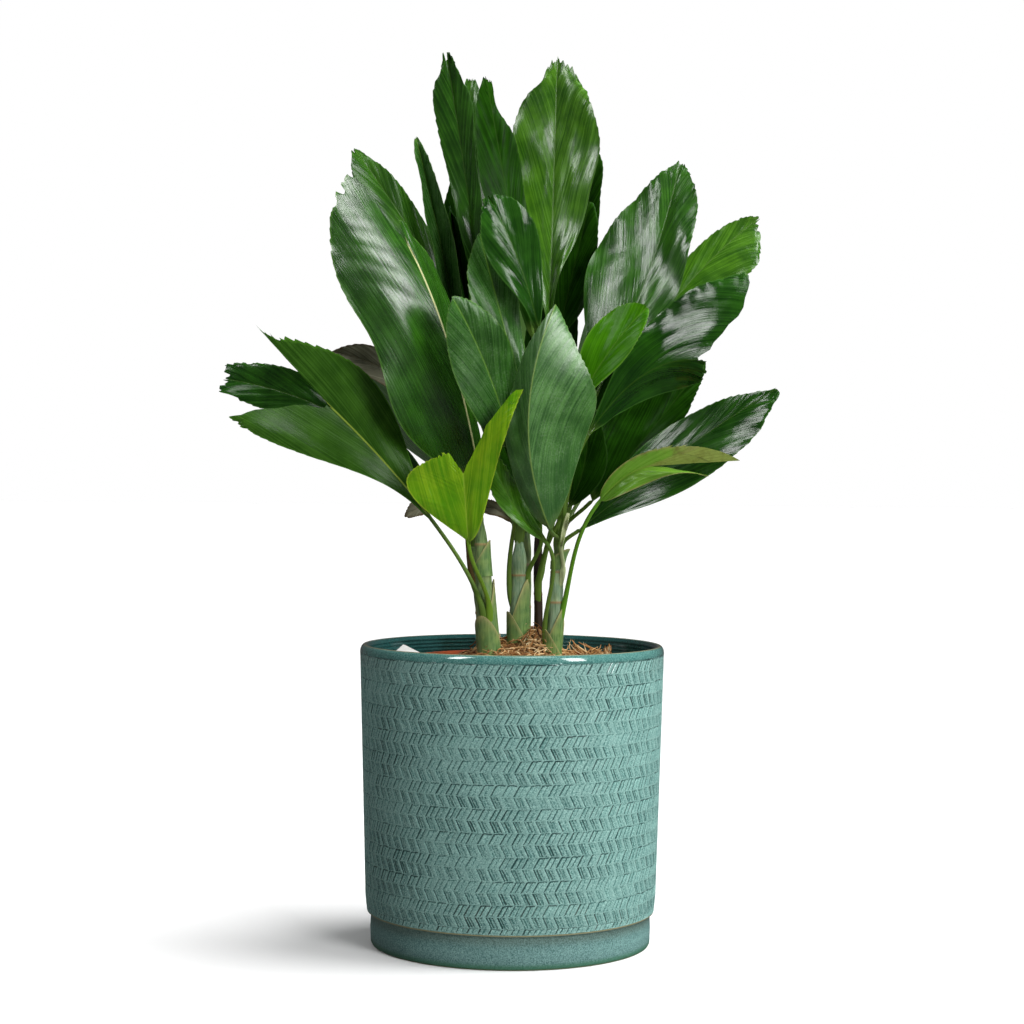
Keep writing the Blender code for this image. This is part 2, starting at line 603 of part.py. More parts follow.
def build_root_mat(cutters):
    """The straw-coloured mat of roots and coir on the soil: a low lumpy mound."""
    rng = random.Random(MAT_SEED)
    low = SOIL_TOP + CLEARANCE
    shares = (0.25, 0.5, 0.75, 0.93)
    profile = [(0, low), (MAT_RADIUS, low), (MAT_RADIUS, low + MAT_EDGE * 0.6)]
    for share in reversed(shares):
        rise = MAT_EDGE + (MAT_HEIGHT - MAT_EDGE) * (1 - share**2)
        profile.append((MAT_RADIUS * share, low + rise))
    profile.append((0, low + MAT_HEIGHT))
    mat = turned("root_mat", profile, MAT_SEGMENTS, "coir")
    for corner in mat.data.vertices:
        if corner.co.z > low + MAT_EDGE * 0.5:
            corner.co.z += rng.uniform(-MAT_LUMPS, MAT_LUMPS)
            corner.co.x += rng.uniform(-MAT_LUMPS, MAT_LUMPS) / 2
            corner.co.y += rng.uniform(-MAT_LUMPS, MAT_LUMPS) / 2
    return cut_holes(mat, cutters)


def build_label(name, margin=0.0):
    """The stick label, leaning out over the grower's pot's rim; margin makes it a cutter."""
    lean = np.array([-math.sin(LABEL_LEAN), 0, math.cos(LABEL_LEAN)])
    across = np.array([0, 1.0, 0])
    flat = np.cross(lean, across)
    edge = abs(LABEL_SIDEWAYS) + LABEL_WIDTH / 2
    inner_rim = math.sqrt((POT_RIM_RADIUS - POT_ROLL)**2 - edge**2)
    rim = np.array([-inner_rim, LABEL_SIDEWAYS, POT_TOP])
    centre = rim - flat * (LABEL_THICKNESS / 2 + 2 * CLEARANCE)
    loops = []
    wide = across * (LABEL_WIDTH / 2 + margin)
    thin = flat * (LABEL_THICKNESS / 2 + margin)
    for share in (-LABEL_BURIED_SHARE, 1 - LABEL_BURIED_SHARE):
        middle = centre + lean * (LABEL_LENGTH * share + math.copysign(margin, share))
        near, far = middle + thin, middle - thin
        loops.append([near - wide, near + wide, far + wide, far - wide])
    return lofted(name, np.array(loops), "label")


def main():
    """Clears the scene and builds every sub-part."""
    for old in list(bpy.data.objects):
        bpy.data.objects.remove(old)
    canes = {cane.name: cane for cane in CANES}
    build_planter()
    build_nursery_pot()
    build_label("plant_label")
    slot = hole_cutter("label_slot", build_label("label_slot", CLEARANCE))
    holes = []
    for cane in CANES:
        name = cane.name + "_hole"
        holes.append(hole_cutter(name, lofted(name, cane_loops(cane, CLEARANCE), "soil")))
    build_soil([slot, *holes])
    build_root_mat(holes)
    for cane in CANES:
        lofted(cane.name, cane_loops(cane), cane.tone)
    for leaf in LEAVES:
        build_leaf(leaf, canes)


main()
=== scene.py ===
"""The looks of a potted metallic palm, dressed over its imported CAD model.

Metres, +Z up, the planter's flat underside at the origin and the plant's best side facing -Y.
Every leaf is a fine surface on the same midrib and wings as its CAD node, with pleats, veins
and a toothed margin. The planter is one turned wall with a herringbone pressed into it.
"""

import logging
import math
from abc import ABC, abstractmethod
from dataclasses import dataclass
from enum import Enum
from functools import partial

import bpy
import numpy as np
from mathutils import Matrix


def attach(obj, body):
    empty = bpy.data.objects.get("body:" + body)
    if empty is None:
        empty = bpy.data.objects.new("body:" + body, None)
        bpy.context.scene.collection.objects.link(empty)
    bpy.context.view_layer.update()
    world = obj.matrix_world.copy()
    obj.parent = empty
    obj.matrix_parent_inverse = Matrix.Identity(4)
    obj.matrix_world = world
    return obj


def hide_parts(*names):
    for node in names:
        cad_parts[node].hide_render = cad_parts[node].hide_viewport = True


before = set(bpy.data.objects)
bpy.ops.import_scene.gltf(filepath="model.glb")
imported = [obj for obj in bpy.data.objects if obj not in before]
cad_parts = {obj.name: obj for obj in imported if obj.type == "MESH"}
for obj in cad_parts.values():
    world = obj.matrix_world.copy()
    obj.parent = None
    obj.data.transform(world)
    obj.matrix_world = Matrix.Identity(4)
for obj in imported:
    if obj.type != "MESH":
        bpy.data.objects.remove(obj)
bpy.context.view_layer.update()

LOG = logging.getLogger("potted_palm")
MM = 0.001

# Heights that several sub-assemblies share
SOIL_TOP = 0.216
POT_TOP = 0.224
PLANTER_FLOOR = 0.010
CLEARANCE = 0.0003

# Places across half a blade, from the midrib to the margin, closest at both ends
FINE_ACROSS = np.array([0, 0.025, 0.06, 0.12, 0.20, 0.30, 0.40, 0.50, 0.60, 0.70, 0.80, 0.88,
                        0.95, 1.0])
COARSE_ACROSS = np.array([0, 0.06, 0.15, 0.30, 0.48, 0.66, 0.82, 0.93, 1.0])


class Slot(Enum):
    """Material slots that skins, canes and leaves carry, though nothing here reads them."""

    GLAZE = "glaze"
    PLASTIC = "terracotta_plastic"
    SOIL = "soil"
    COIR = "coir"
    LABEL = "label"
    CANE = "cane"
    DARK_CANE = "dark_cane"
    LEAF = "leaf"
    DEEP = "deep_leaf"
    POWDERY = "powdery_leaf"
    BRIGHT = "bright_leaf"
    YOUNG = "young_leaf"
    WITHERED = "withered_leaf"


class Lean(Enum):
    """Which way a stamped row leans: the tangent of its angle from upright."""

    RIGHT = math.tan(math.radians(29))
    LEFT = -math.tan(math.radians(26))


# Small tools


def linear(hex_colour: str) -> tuple[float, float, float, float]:
    """Turns an sRGB hex colour into linear red, green, blue and alpha.

    Args:
        hex_colour: six hex digits, without a hash.

    Returns:
        The four linear values.
    """
    parts = [int(hex_colour[i:i + 2], 16) / 255 for i in (0, 2, 4)]
    red, green, blue = (
        c / 12.92 if c <= 0.04045 else ((c + 0.055) / 1.055) ** 2.4 for c in parts
    )
    return red, green, blue, 1.0


def unit(vectors: np.ndarray) -> np.ndarray:
    """The vectors, each scaled to length one."""
    return vectors / np.linalg.norm(vectors, axis=-1, keepdims=True)


def smooth_step(low: float, high: float, values: np.ndarray) -> np.ndarray:
    """Rises from 0 at low to 1 at high, level at both ends."""
    share = np.clip((values - low) / (high - low), 0, 1)
    return share * share * (3 - 2 * share)


def bearing(degrees: float, lift: float = 0.0) -> np.ndarray:
    """The direction that many degrees from -Y towards +X, lifted from level by lift degrees."""
    flat, up = math.radians(degrees), math.radians(lift)
    return np.array([math.sin(flat) * math.cos(up), -math.cos(flat) * math.cos(up), math.sin(up)])


def ripple(rng: np.random.Generator, u: np.ndarray, v: np.ndarray, count: int,
           finest: float) -> np.ndarray:
    """A gentle random swell over two parameters: a few sine waves added up.

    Args:
        rng: the seeded source of each wave's direction and phase.
        u: the first parameter.
        v: the second parameter.
        count: how many waves are added.
        finest: the highest number of waves per unit of a parameter.

    Returns:
        Values between about -1 and 1.
    """
    total = np.zeros(np.broadcast(u, v).shape)
    for _ in range(count):
        a, b = rng.uniform(-finest, finest, 2)
        total = total + np.sin(2 * math.pi * (a * u + b * v) + rng.uniform(0, 2 * math.pi))
    return total / math.sqrt(count)


def ring_faces(rows: int, columns: int) -> np.ndarray:
    """Quads of a grid whose columns close on themselves, facing out of a ring that rises.

    Args:
        rows: number of rings.
        columns: points in each ring, which runs anticlockwise seen from above.

    Returns:
        An array of four point numbers per quad.
    """
    start = np.arange(rows - 1)[:, None] * columns
    near = np.arange(columns)[None, :]
    far = (near + 1) % columns
    corners = [start + near, start + far, start + far + columns, start + near + columns]
    return np.stack(corners, axis=-1).reshape(-1, 4)


def put_mesh(name: str, points: np.ndarray, faces: list, sharp: float = 50) -> bpy.types.Object:
    """Makes a named object of points and faces, smooth but for its sharp edges.

    Args:
        name: the piece's name.
        points: an array of xyz, one row per point.
        faces: point numbers of each face.
        sharp: the angle in degrees past which an edge is shaded sharp.

    Returns:
        The new object, at the origin.
    """
    mesh = bpy.data.meshes.new(name)
    mesh.from_pydata(points.tolist(), [], faces)
    mesh.shade_smooth()
    mesh.set_sharp_from_angle(angle=math.radians(sharp))
    made = bpy.data.objects.new(name, mesh)
    bpy.context.scene.collection.objects.link(made)
    return made


def put_attribute(piece: bpy.types.Object, name: str, values: np.ndarray) -> None:
    """Stores a number or a vector on every point, for the piece's material to read.

    Args:
        piece: the object.
        name: the attribute's name.
        values: one number or one vector for each point.
    """
    is_vector = values.ndim == 2
    kind, key = ("FLOAT_VECTOR", "vector") if is_vector else ("FLOAT", "value")
    layer = piece.data.attributes.new(name, kind, "POINT")
    layer.data.foreach_set(key, values.astype(np.float32).ravel())


def turned_solid(name: str, rings: np.ndarray) -> bpy.types.Object:
    """Closes a stack of rings into a solid, with one point at each pole.

    The rings run anticlockwise seen from above and their order goes from the underside's
    middle, out and up round the solid and back to the middle of its upper side.

    Args:
        name: the piece's name.
        rings: points as (ring, column, xyz).

    Returns:
        The new object. Its last two points are the poles, below and above.
    """
    rows, columns, _ = rings.shape
    poles = np.array([rings[0].mean(axis=0), rings[-1].mean(axis=0)])
    near = np.arange(columns)
    far = (near + 1) % columns
    low, high = rows * columns, rows * columns + 1
    last = (rows - 1) * columns
    faces = ring_faces(rows, columns).tolist()
    faces += np.stack([np.full(columns, low), far, near], axis=-1).tolist()
    faces += np.stack([last + near, last + far, np.full(columns, high)], axis=-1).tolist()
    return put_mesh(name, np.concatenate([rings.reshape(-1, 3), poles]), faces)


def even_angles(columns: int) -> np.ndarray:
    """That many angles, evenly round a full turn."""
    return 2 * math.pi * np.arange(columns) / columns


def ring_of(radius: np.ndarray, height: np.ndarray, angle: np.ndarray) -> np.ndarray:
    """Points at radii, heights and angles, the angle running from -Y towards +X."""
    radius, height, angle = np.broadcast_arrays(radius, height, angle)
    return np.stack([radius * np.sin(angle), -radius * np.cos(angle), height], axis=-1)


def strip_solid(name: str, loops: np.ndarray) -> bpy.types.Object:
    """Closes a row of loops, half of each over the top and half back underneath, into a solid.

    Quads join neighbouring loops, and the first and last loop are closed by quads between
    the upper and lower halves. The faces are turned round where the volume comes out negative.

    Args:
        name: the piece's name.
        loops: points as (station, point, xyz).

    Returns:
        The new object.
    """
    stations, count, _ = loops.shape
    half = count // 2
    points = loops.reshape(-1, 3)
    faces = ring_faces(stations, count)
    over = np.arange(half - 1)
    cap = np.stack([over, over + 1, count - 2 - over, count - 1 - over], axis=-1)
    faces = np.concatenate([faces, cap[:, ::-1], cap + (stations - 1) * count])
    a, b, c, d = points[faces].transpose(1, 0, 2)
    volume = (a * (np.cross(b, c) + np.cross(c, d))).sum()
    if volume < 0:
        faces = faces[:, ::-1]
    return put_mesh(name, points, faces.tolist())


def profile_rings(profile: list[tuple[float, float]], columns: int) -> np.ndarray:
    """Turns a profile into rings, all at the same even angles.

    Args:
        profile: a radius and a height for each ring.
        columns: points in each ring.

    Returns:
        Points as (ring, column, xyz).
    """
    radius, height = np.array(profile).T
    return ring_of(radius[:, None], height[:, None], even_angles(columns))


Feed = float | str | tuple | bpy.types.NodeSocket


class Kind(Enum):
    """The kinds of node in use: each its type, the inputs it is fed, its output, its settings."""

    MIX = ("ShaderNodeMix", (0, 6, 7), 2, {"data_type": "RGBA"})
    RANGE = ("ShaderNodeMapRange", (0, 1, 2, 3, 4), 0, {"interpolation_type": "SMOOTHSTEP"})
    TIMES = ("ShaderNodeMath", (0, 1), 0, {"operation": "MULTIPLY"})
    PLUS = ("ShaderNodeMath", (0, 1), 0, {"operation": "ADD"})
    MINUS = ("ShaderNodeMath", (0, 1), 0, {"operation": "SUBTRACT"})
    SINE = ("ShaderNodeMath", (0,), 0, {"operation": "SINE"})
    NOISE = ("ShaderNodeTexNoise", ("Vector", "Scale", "Detail", "Roughness"), 0, {})
    STRETCH = ("ShaderNodeMapping", ("Vector", "Scale"), 0, {})
    RAMP = ("ShaderNodeValToRGB", (0,), 0, {})
    BUMP = ("ShaderNodeBump", ("Height", "Distance", "Strength"), 0, {})
    VECTOR_OF = ("ShaderNodeAttribute", (), "Vector", {})
    NUMBER_OF = ("ShaderNodeAttribute", (), "Fac", {})
    SPLIT = ("ShaderNodeSeparateXYZ", (0,), 0, {})
    OBJECT_PLACE = ("ShaderNodeTexCoord", (), "Object", {})
    CAMERA_RAY = ("ShaderNodeLightPath", (), "Is Camera Ray", {})
    GLOW = ("ShaderNodeBackground", ("Color", "Strength"), 0, {})
    MIX_LIGHT = ("ShaderNodeMixShader", (0, 1, 2), 0, {})


def feed(tree: bpy.types.NodeTree, socket: bpy.types.NodeSocket, value: Feed) -> None:
    """Links an output to an input, or sets the input to a number, vector or hex colour.

    Args:
        tree: the node tree of both.
        socket: the input.
        value: what goes into it.
    """
    if isinstance(value, bpy.types.NodeSocket):
        tree.links.new(value, socket)
    else:
        socket.default_value = linear(value) if isinstance(value, str) else value


def add_node(tree: bpy.types.NodeTree, kind: Kind, *values: Feed,
             stops: tuple[tuple[float, str], ...] = (), **settings: object,
             ) -> bpy.types.NodeSocket:
    """Adds one node with its settings and links.

    Args:
        tree: the material's or world's node tree.
        kind: the kind of node.
        *values: what goes into the kind's inputs, in their order. Later ones keep their defaults.
        stops: places and hex colours of a colour ramp.
        **settings: properties of the node besides the kind's own.

    Returns:
        The output that the kind names.
    """
    node_type, inputs, output, fixed = kind.value
    made = tree.nodes.new(node_type)
    for name, value in (fixed | settings).items():
        setattr(made, name, value)
    for place, value in zip(inputs, values):
        feed(tree, made.inputs[place], value)
    for number, (place, colour) in enumerate(stops):
        elements = made.color_ramp.elements
        stop = elements[number] if number < 2 else elements.new(place)
        stop.position = place
        stop.color = linear(colour)
    return made.outputs[output]


# Finishes


class Finish(ABC):
    """What all finishes share: a name, and a material made once for all pieces that wear it."""

    name: str

    @abstractmethod
    def surface(self, tree: bpy.types.NodeTree) -> dict[str, Feed]:
        """Works out what goes into the shader's sockets.

        Args:
            tree: the material's node tree.

        Returns:
            A value or an output for each socket named.
        """

    def layered(self, tree: bpy.types.NodeTree, colour: Feed,
                *layers: tuple) -> bpy.types.NodeSocket:
        """Lays colours over one another, each as far as a value says.

        Args:
            tree: the material's node tree.
            colour: the lowest colour.
            *layers: for each colour above it a value, the colour, the value's range, and the
                colour's share at both ends of it, which are 0 and 1 unless given.

        Returns:
            The colour that they make.
        """
        for value, over, *shares in layers:
            share = add_node(tree, Kind.RANGE, value, *shares)
            colour = add_node(tree, Kind.MIX, share, colour, over)
        return colour

    def material(self) -> bpy.types.Material:
        """Makes the material, or gives the one that an earlier piece already wears.

        Returns:
            The finished material.
        """
        made = bpy.data.materials.get(self.name)
        if made is None:
            made = bpy.data.materials.new(self.name)
            made.use_nodes = True
            shader = made.node_tree.nodes["Principled BSDF"]
            for socket, value in self.surface(made.node_tree).items():
                feed(made.node_tree, shader.inputs[socket], value)
        return made


@dataclass(frozen=True)
class LeafSkin(Finish):
    """Living palm leaf: a waxy cuticle over ribbed tissue, glossy along the veins.

    The wax gives the eye soft white streaks of light that break up along the veins, and the
    tissue between two veins is a shade paler than the veins themselves. powder is how much
    pale bloom lies on the wax, browning how far the margin has dried, rib_share how clearly
    the midrib stands out, and slot the material slot for leaves that wear the skin.
    """

    name: str
    face: str
    shade: str
    rib: str
    margin: str
    under: str
    stalk: str = "5f7d33"
    bloom: str = "a4ba9c"
    dry: str = "5a4426"
    roughness: float = 0.25
    powder: float = 0.0
    browning: float = 0.0
    rib_mm: float = 0.9
    rib_share: float = 0.35
    vein_mm: float = 1.4
    streak_mm: float = 60
    thread_mm: float = 200
    gleam: float = 0.6
    slot: Slot = Slot.LEAF

    def surface(self, tree: bpy.types.NodeTree) -> dict[str, Feed]:
        """Works the leaf out from its veins, place and under attributes.

        Args:
            tree: the material's node tree.

        Returns:
            A value or an output for each socket named.
        """
        add = partial(add_node, tree)
        veins = add(Kind.VECTOR_OF, attribute_name="veins")
        under = add(Kind.NUMBER_OF, attribute_name="under")
        place = add(Kind.VECTOR_OF, attribute_name="place")
        rib, along, edge = add(Kind.SPLIT, place).node.outputs
        body = add(Kind.OBJECT_PLACE)
        # Streaks as wide as the veins stand apart, clouds of 16 mm, frays of 6 mm, and dust
        # drawn at 1.4 mm, which is coarser than real wax so that it shows
        stretched = add(Kind.STRETCH, veins, (1 / self.vein_mm, 1 / self.streak_mm, 1))
        streak = add(Kind.NOISE, stretched, 1, 4, 0.6)
        drawn_out = add(Kind.STRETCH, veins, (1.7 / self.vein_mm, 1 / self.thread_mm, 1))
        thread = add(Kind.NOISE, drawn_out, 1, 1, 0.5)
        cloud = add(Kind.NOISE, body, 1 / (16 * MM), 2, 0.5)
        fray = add(Kind.NOISE, body, 1 / (6 * MM), 3, 0.7)
        dust = add(Kind.NOISE, body, 1 / (1.4 * MM), 4, 0.7)
        tone = add(Kind.PLUS, add(Kind.TIMES, streak, 0.65), add(Kind.TIMES, cloud, 0.45))
        worn = add(Kind.TIMES, add(Kind.RANGE, edge, 0.2, 3.5, 1, 0),
                   add(Kind.RANGE, fray, 0.62 - 0.3 * self.browning, 0.72))
        dusty = add(Kind.PLUS, dust, add(Kind.TIMES, cloud, 0.35))
        # The tissue first, then painted shade over the 65 mm nearest the stalk, where the leaves
        # around it shade it, the darker thread-like veins, the margin, dry edges, the rib, the
        # underside, the bloom and the stalk
        colour = self.layered(tree, self.shade, (tone, self.face, 0.34, 0.78),
                              (along, self.shade, 0, 65, 0.55, 0),
                              (thread, self.shade, 0.56, 0.68, 0, 0.72),
                              (edge, self.margin, 0.2, 1.6, 0.8, 0))
        colour = add(Kind.MIX, add(Kind.TIMES, worn, self.browning), colour, self.dry)
        colour = self.layered(tree, colour, (rib, self.rib, self.rib_mm * 0.35, self.rib_mm,
                                             self.rib_share, 0))
        colour = add(Kind.MIX, add(Kind.TIMES, under, 0.85), colour, self.under)
        colour = self.layered(tree, colour, (dusty, self.bloom, 0.66, 0.86, 0, self.powder),
                              (along, self.stalk, -6, 8, 1, 0))
        relief = add(Kind.PLUS, add(Kind.TIMES, streak, 0.7), add(Kind.TIMES, dust, 0.12))
        return {
            "Base Color": colour,
            "Roughness": add(Kind.RANGE, streak, 0.3, 0.7, self.roughness - 0.05,
                             self.roughness + 0.08),
            "IOR": 1.45,
            "Specular IOR Level": self.gleam,
            "Normal": add(Kind.BUMP, relief, 0.35 * MM, 0.8),
        }


class Skin(Enum):
    """The skins that the leaves choose from."""

    MID = LeafSkin("waxy_leaf_green", "3a6a16", "1c420b", "4a7020", "44702a", "56754a")
    DULL = LeafSkin("dull_leaf_green", "3f6a1e", "24480f", "8aa03c", "4a7a24", "56754a",
                    rib_share=0.95, gleam=0.15)
    GLOSSY = LeafSkin("glossy_leaf_green", "387014", "173f08", "44681f", "3f6c28", "4d6e42",
                      roughness=0.20, gleam=0.8)
    RIBBED = LeafSkin("ribbed_leaf_green", "336812", "153a07", "c8c890", "4f7c2c", "4d6e42",
                      roughness=0.25, gleam=1.3, rib_share=0.95, rib_mm=1.2)
    SATIN = LeafSkin("satin_leaf_green", "5a921f", "28560d", "5a7e30", "547c34", "5e7a4c",
                     roughness=0.22, gleam=0.8)
    POLISHED = LeafSkin("polished_leaf_green", "2c5e14", "0f3209", "44681f", "3f6c28", "4d6e42",
                        roughness=0.13, gleam=0.5)
    CREAM = LeafSkin("unopened_leaf_cream", "dfe6bc", "b4c288", "e4e8c8", "c8d0a0", "c4cc9c",
                     stalk="c0cc98", gleam=0.3, slot=Slot.YOUNG)
    FROSTED = LeafSkin("frosted_leaf_green", "568f3c", "25561a", "7ea044", "5c8440", "5f7c58",
                       powder=0.16, roughness=0.36, gleam=1.5, rib_share=0.8, slot=Slot.POWDERY)
    # A deeper green, drawn darker still as painted shade for the leaves inside and behind the plant
    DEEP = LeafSkin("shaded_deep_leaf_green", "26540c", "0f2a05", "35551c", "2f521c", "39543a",
                    gleam=0.04, slot=Slot.DEEP)
    POWDERY = LeafSkin("powdery_leaf_green", "3f7028", "1f4614", "5f8a2c", "4c7428", "5f7c58",
                       powder=0.12, roughness=0.28, gleam=0.5, rib_share=0.7, slot=Slot.POWDERY)
    BRIGHT = LeafSkin("waxy_leaf_bright_green", "4a8a0c", "2c6006", "5c8628", "5d8c2a", "64884a",
                      gleam=0.12, slot=Slot.BRIGHT)
    YOUNG = LeafSkin("young_leaf_yellow_green", "90b41a", "4c840c", "a2c040", "9ab82c", "86a63c",
                     stalk="6f9430", browning=0.3, gleam=0.2, slot=Slot.YOUNG)
    FADING = LeafSkin("fading_leaf_grey_green", "80aa3a", "5a8a28", "86a040", "8a8c50", "8d9a68",
                      stalk="5f9428", browning=0.6, gleam=0.2, slot=Slot.YOUNG)
    WITHERED = LeafSkin("withered_leaf_brown", "a0a088", "5e5c4a", "9c9478", "6a5c48", "7f765f",
                        stalk="5a4a2c", browning=1.0, roughness=0.6, gleam=0.1,
                        slot=Slot.WITHERED)


@dataclass(frozen=True)
class GlazedStoneware(Finish):
    """Stoneware under a reactive sea-green glaze, fired glossy.

    The glaze breaks thin and pale over the stamped ridges and pools dark and brownish in the
    pressed lines, so the relief reads as drawn in two tones under one gloss.
    """

    name: str = "reactive_glazed_stoneware"
    thin: str = "9dc6be"
    body: str = "5e8f88"
    dark: str = "3a6e6a"
    pool: str = "153c3a"
    iron: str = "3d4038"
    # The inside's glaze is drawn darker than the wall's: painted shade of the planter's hollow
    inside: str = "2f6462"
    inside_shaded_speck: str = "1c4a48"
    lip: str = "649a93"
    lip_speck: str = "35706a"
    edge: str = "a39a70"
    foot: str = "8fb8b3"
    foot_speck: str = "43706d"
    # Painted shade: a brownish band over the top of the foot, under the skirt
    foot_skirt_shade: str = "6b6a52"
    foot_run: str = "3f7d5a"
    bare_clay: str = "9aa86a"
    line: str = "a09c78"
    # Heights in metres between which one part of the glaze gives way to the next
    foot_top: tuple = (0.0252, 0.0262)
    line_low: tuple = (0.0257, 0.0261)
    line_high: tuple = (0.0267, 0.0273)
    lip_edge: tuple = (0.2341, 0.2347)
    ring_spacing: float = 3 * MM

    def surface(self, tree: bpy.types.NodeTree) -> dict[str, Feed]:
        """Works the glaze out from the stamp attribute and the height on the wall.

        Args:
            tree: the material's node tree.

        Returns:
            A value or an output for each socket named.
        """
        add = partial(add_node, tree)
        stamp = add(Kind.VECTOR_OF, attribute_name="stamp")
        depth, inner, smooth = add(Kind.SPLIT, stamp).node.outputs
        body = add(Kind.OBJECT_PLACE)
        height = add(Kind.SPLIT, body).node.outputs["Z"]
        # Mottles of 1 mm in clouds 25 mm wide and 12 mm tall, as a reactive glaze breaks
        mottle = add(Kind.NOISE, body, 1 / MM, 2, 0.8)
        flat = add(Kind.STRETCH, body, (1 / (25 * MM), 1 / (25 * MM), 1 / (12 * MM)))
        cloud = add(Kind.NOISE, flat, 1, 3, 0.5)
        speck = add(Kind.RANGE, mottle, 0.3, 0.7)
        # More iron shows in the strokes of the lowest rows
        low = add(Kind.RANGE, height, 0.030, 0.075, 0.9, 0.1)
        rust = add(Kind.TIMES, add(Kind.RANGE, cloud, 0.40, 0.70, 0.2, 1.0), low)
        pooled = add(Kind.MIX, rust, self.pool, self.iron)
        wall = self.layered(tree, self.dark, (cloud, self.body, 0.3, 0.7),
                            (mottle, self.thin, 0.48, 0.60, 0, 0.9),
                            (mottle, self.dark, 0.38, 0.50, 0.9, 0),
                            (depth, self.thin, 0, 0.3, 0.5, 0),
                            (depth, pooled, 0.30, 0.68, 0, 0.95))
        # The foot has a brownish painted shade over its top, under the skirt's overhang, and a
        # green run down to its wiped edge
        colour = self.layered(tree, self.foot_speck, (mottle, self.foot, 0.3, 0.7),
                              (height, self.foot_skirt_shade, 0.016, 0.023, 0, 0.3),
                              (height, self.foot_run, 0.0020, 0.0060, 0.75, 0),
                              (height, self.bare_clay, 0.0004, 0.0012, 0.8, 0),
                              (height, wall, *self.foot_top))
        seam = add(Kind.TIMES, add(Kind.RANGE, height, *self.line_low),
                   add(Kind.RANGE, height, *self.line_high, 1, 0))
        colour = add(Kind.MIX, seam, colour, self.line)
        colour = add(Kind.MIX, add(Kind.TIMES, smooth, 0.75), colour,
                     add(Kind.MIX, speck, self.lip_speck, self.lip))
        worn_edge = add(Kind.TIMES, add(Kind.RANGE, height, *self.lip_edge),
                        add(Kind.RANGE, mottle, 0.2, 0.6, 0.3, 0.85))
        colour = add(Kind.MIX, worn_edge, colour, self.edge)
        # Painted shade: the inside takes its darker glaze
        colour = add(Kind.MIX, inner, colour,
                     add(Kind.MIX, speck, self.inside_shaded_speck, self.inside))
        # The lip and the inside are smoother than the wall, and rings thrown 3 mm apart run
        # round the inside
        grain = add(Kind.TIMES, mottle, add(Kind.RANGE, smooth, 0, 1, 1, 0.12))
        wave = add(Kind.SINE, add(Kind.TIMES, height, 2 * math.pi / self.ring_spacing))
        thrown = add(Kind.TIMES, inner, add(Kind.TIMES, wave, 1.6))
        return {
            "Base Color": colour,
            "Roughness": add(Kind.MINUS, add(Kind.RANGE, mottle, 0.3, 0.7, 0.42, 0.56),
                             add(Kind.TIMES, smooth, 0.38)),
            "IOR": 1.5,
            # The glaze lies thickest and clearest over the top rows and the inside
            "Coat Weight": add(Kind.RANGE, height, 0.212, 0.226, 0.06, 1),
            "Coat Roughness": 0.08,
            "Normal": add(Kind.BUMP, add(Kind.PLUS, grain, thrown), 0.25 * MM, 0.6),
        }


@dataclass(frozen=True)
class SpeckledFibre(Finish):
    """Coir or peat: plant matter in many tones, each strand or crumb its own, and none shines.

    grain is the size of a crumb or of a strand's blotches in metres.
    """

    name: str
    tones: tuple[str, ...]
    grain: float
    roughness: float = 0.85

    def surface(self, tree: bpy.types.NodeTree) -> dict[str, Feed]:
        """Works the colours out from the tone attribute and a fine grain.

        Args:
            tree: the material's node tree.

        Returns:
            A value or an output for each socket named.
        """
        add = partial(add_node, tree)
        tone = add(Kind.NUMBER_OF, attribute_name="tone")
        grain = add(Kind.NOISE, add(Kind.OBJECT_PLACE), 1 / self.grain, 4, 0.7)
        share = add(Kind.PLUS, tone, add(Kind.RANGE, grain, 0.2, 0.8, -0.2, 0.2))
        stops = tuple((i / (len(self.tones) - 1), hue) for i, hue in enumerate(self.tones))
        return {
            "Base Color": add(Kind.RAMP, share, stops=stops),
            "Roughness": add(Kind.RANGE, grain, 0.2, 0.8, self.roughness - 0.1,
                             self.roughness + 0.1),
            "IOR": 1.45,
            "Normal": add(Kind.BUMP, grain, self.grain * 0.4, 0.8),
        }


@dataclass(frozen=True)
class CaneBark(Finish):
    """Living cane: a smooth, faintly waxy green skin, ringed by tan leaf scars.

    Its fibres give the eye soft upright streaks, and the wax a dull gleam.
    """

    name: str
    skin: str
    shade: str
    scar: str
    low: str
    roughness: float = 0.45

    def surface(self, tree: bpy.types.NodeTree) -> dict[str, Feed]:
        """Works the bark out from the ring and rise attributes.

        Args:
            tree: the material's node tree.

        Returns:
            A value or an output for each socket named.
        """
        add = partial(add_node, tree)
        ring = add(Kind.NUMBER_OF, attribute_name="ring")
        rise = add(Kind.NUMBER_OF, attribute_name="rise")
        body = add(Kind.OBJECT_PLACE)
        # Fibres 1.1 mm wide and 14 mm long, coarser than real ones so that they show
        upright = add(Kind.STRETCH, body, (1 / (1.1 * MM), 1 / (1.1 * MM), 1 / (14 * MM)))
        fibre = add(Kind.NOISE, upright, 1, 4, 0.6)
        cloud = add(Kind.NOISE, body, 1 / (8 * MM), 3, 0.5)
        colour = self.layered(tree, self.shade, (fibre, self.skin, 0.25, 0.75),
                              (cloud, self.low, 0.4, 0.7, 0, 0.5),
                              (rise, self.low, 0, 0.35, 0.7, 0))
        scar = add(Kind.TIMES, ring, add(Kind.RANGE, fibre, 0.2, 0.5, 0.6, 1))
        return {
            "Base Color": add(Kind.MIX, scar, colour, self.scar),
            "Roughness": add(Kind.RANGE, fibre, 0.3, 0.7, self.roughness - 0.08,
                             self.roughness + 0.1),
            "IOR": 1.45,
            "Normal": add(Kind.BUMP, fibre, 0.4 * MM, 0.6),
        }


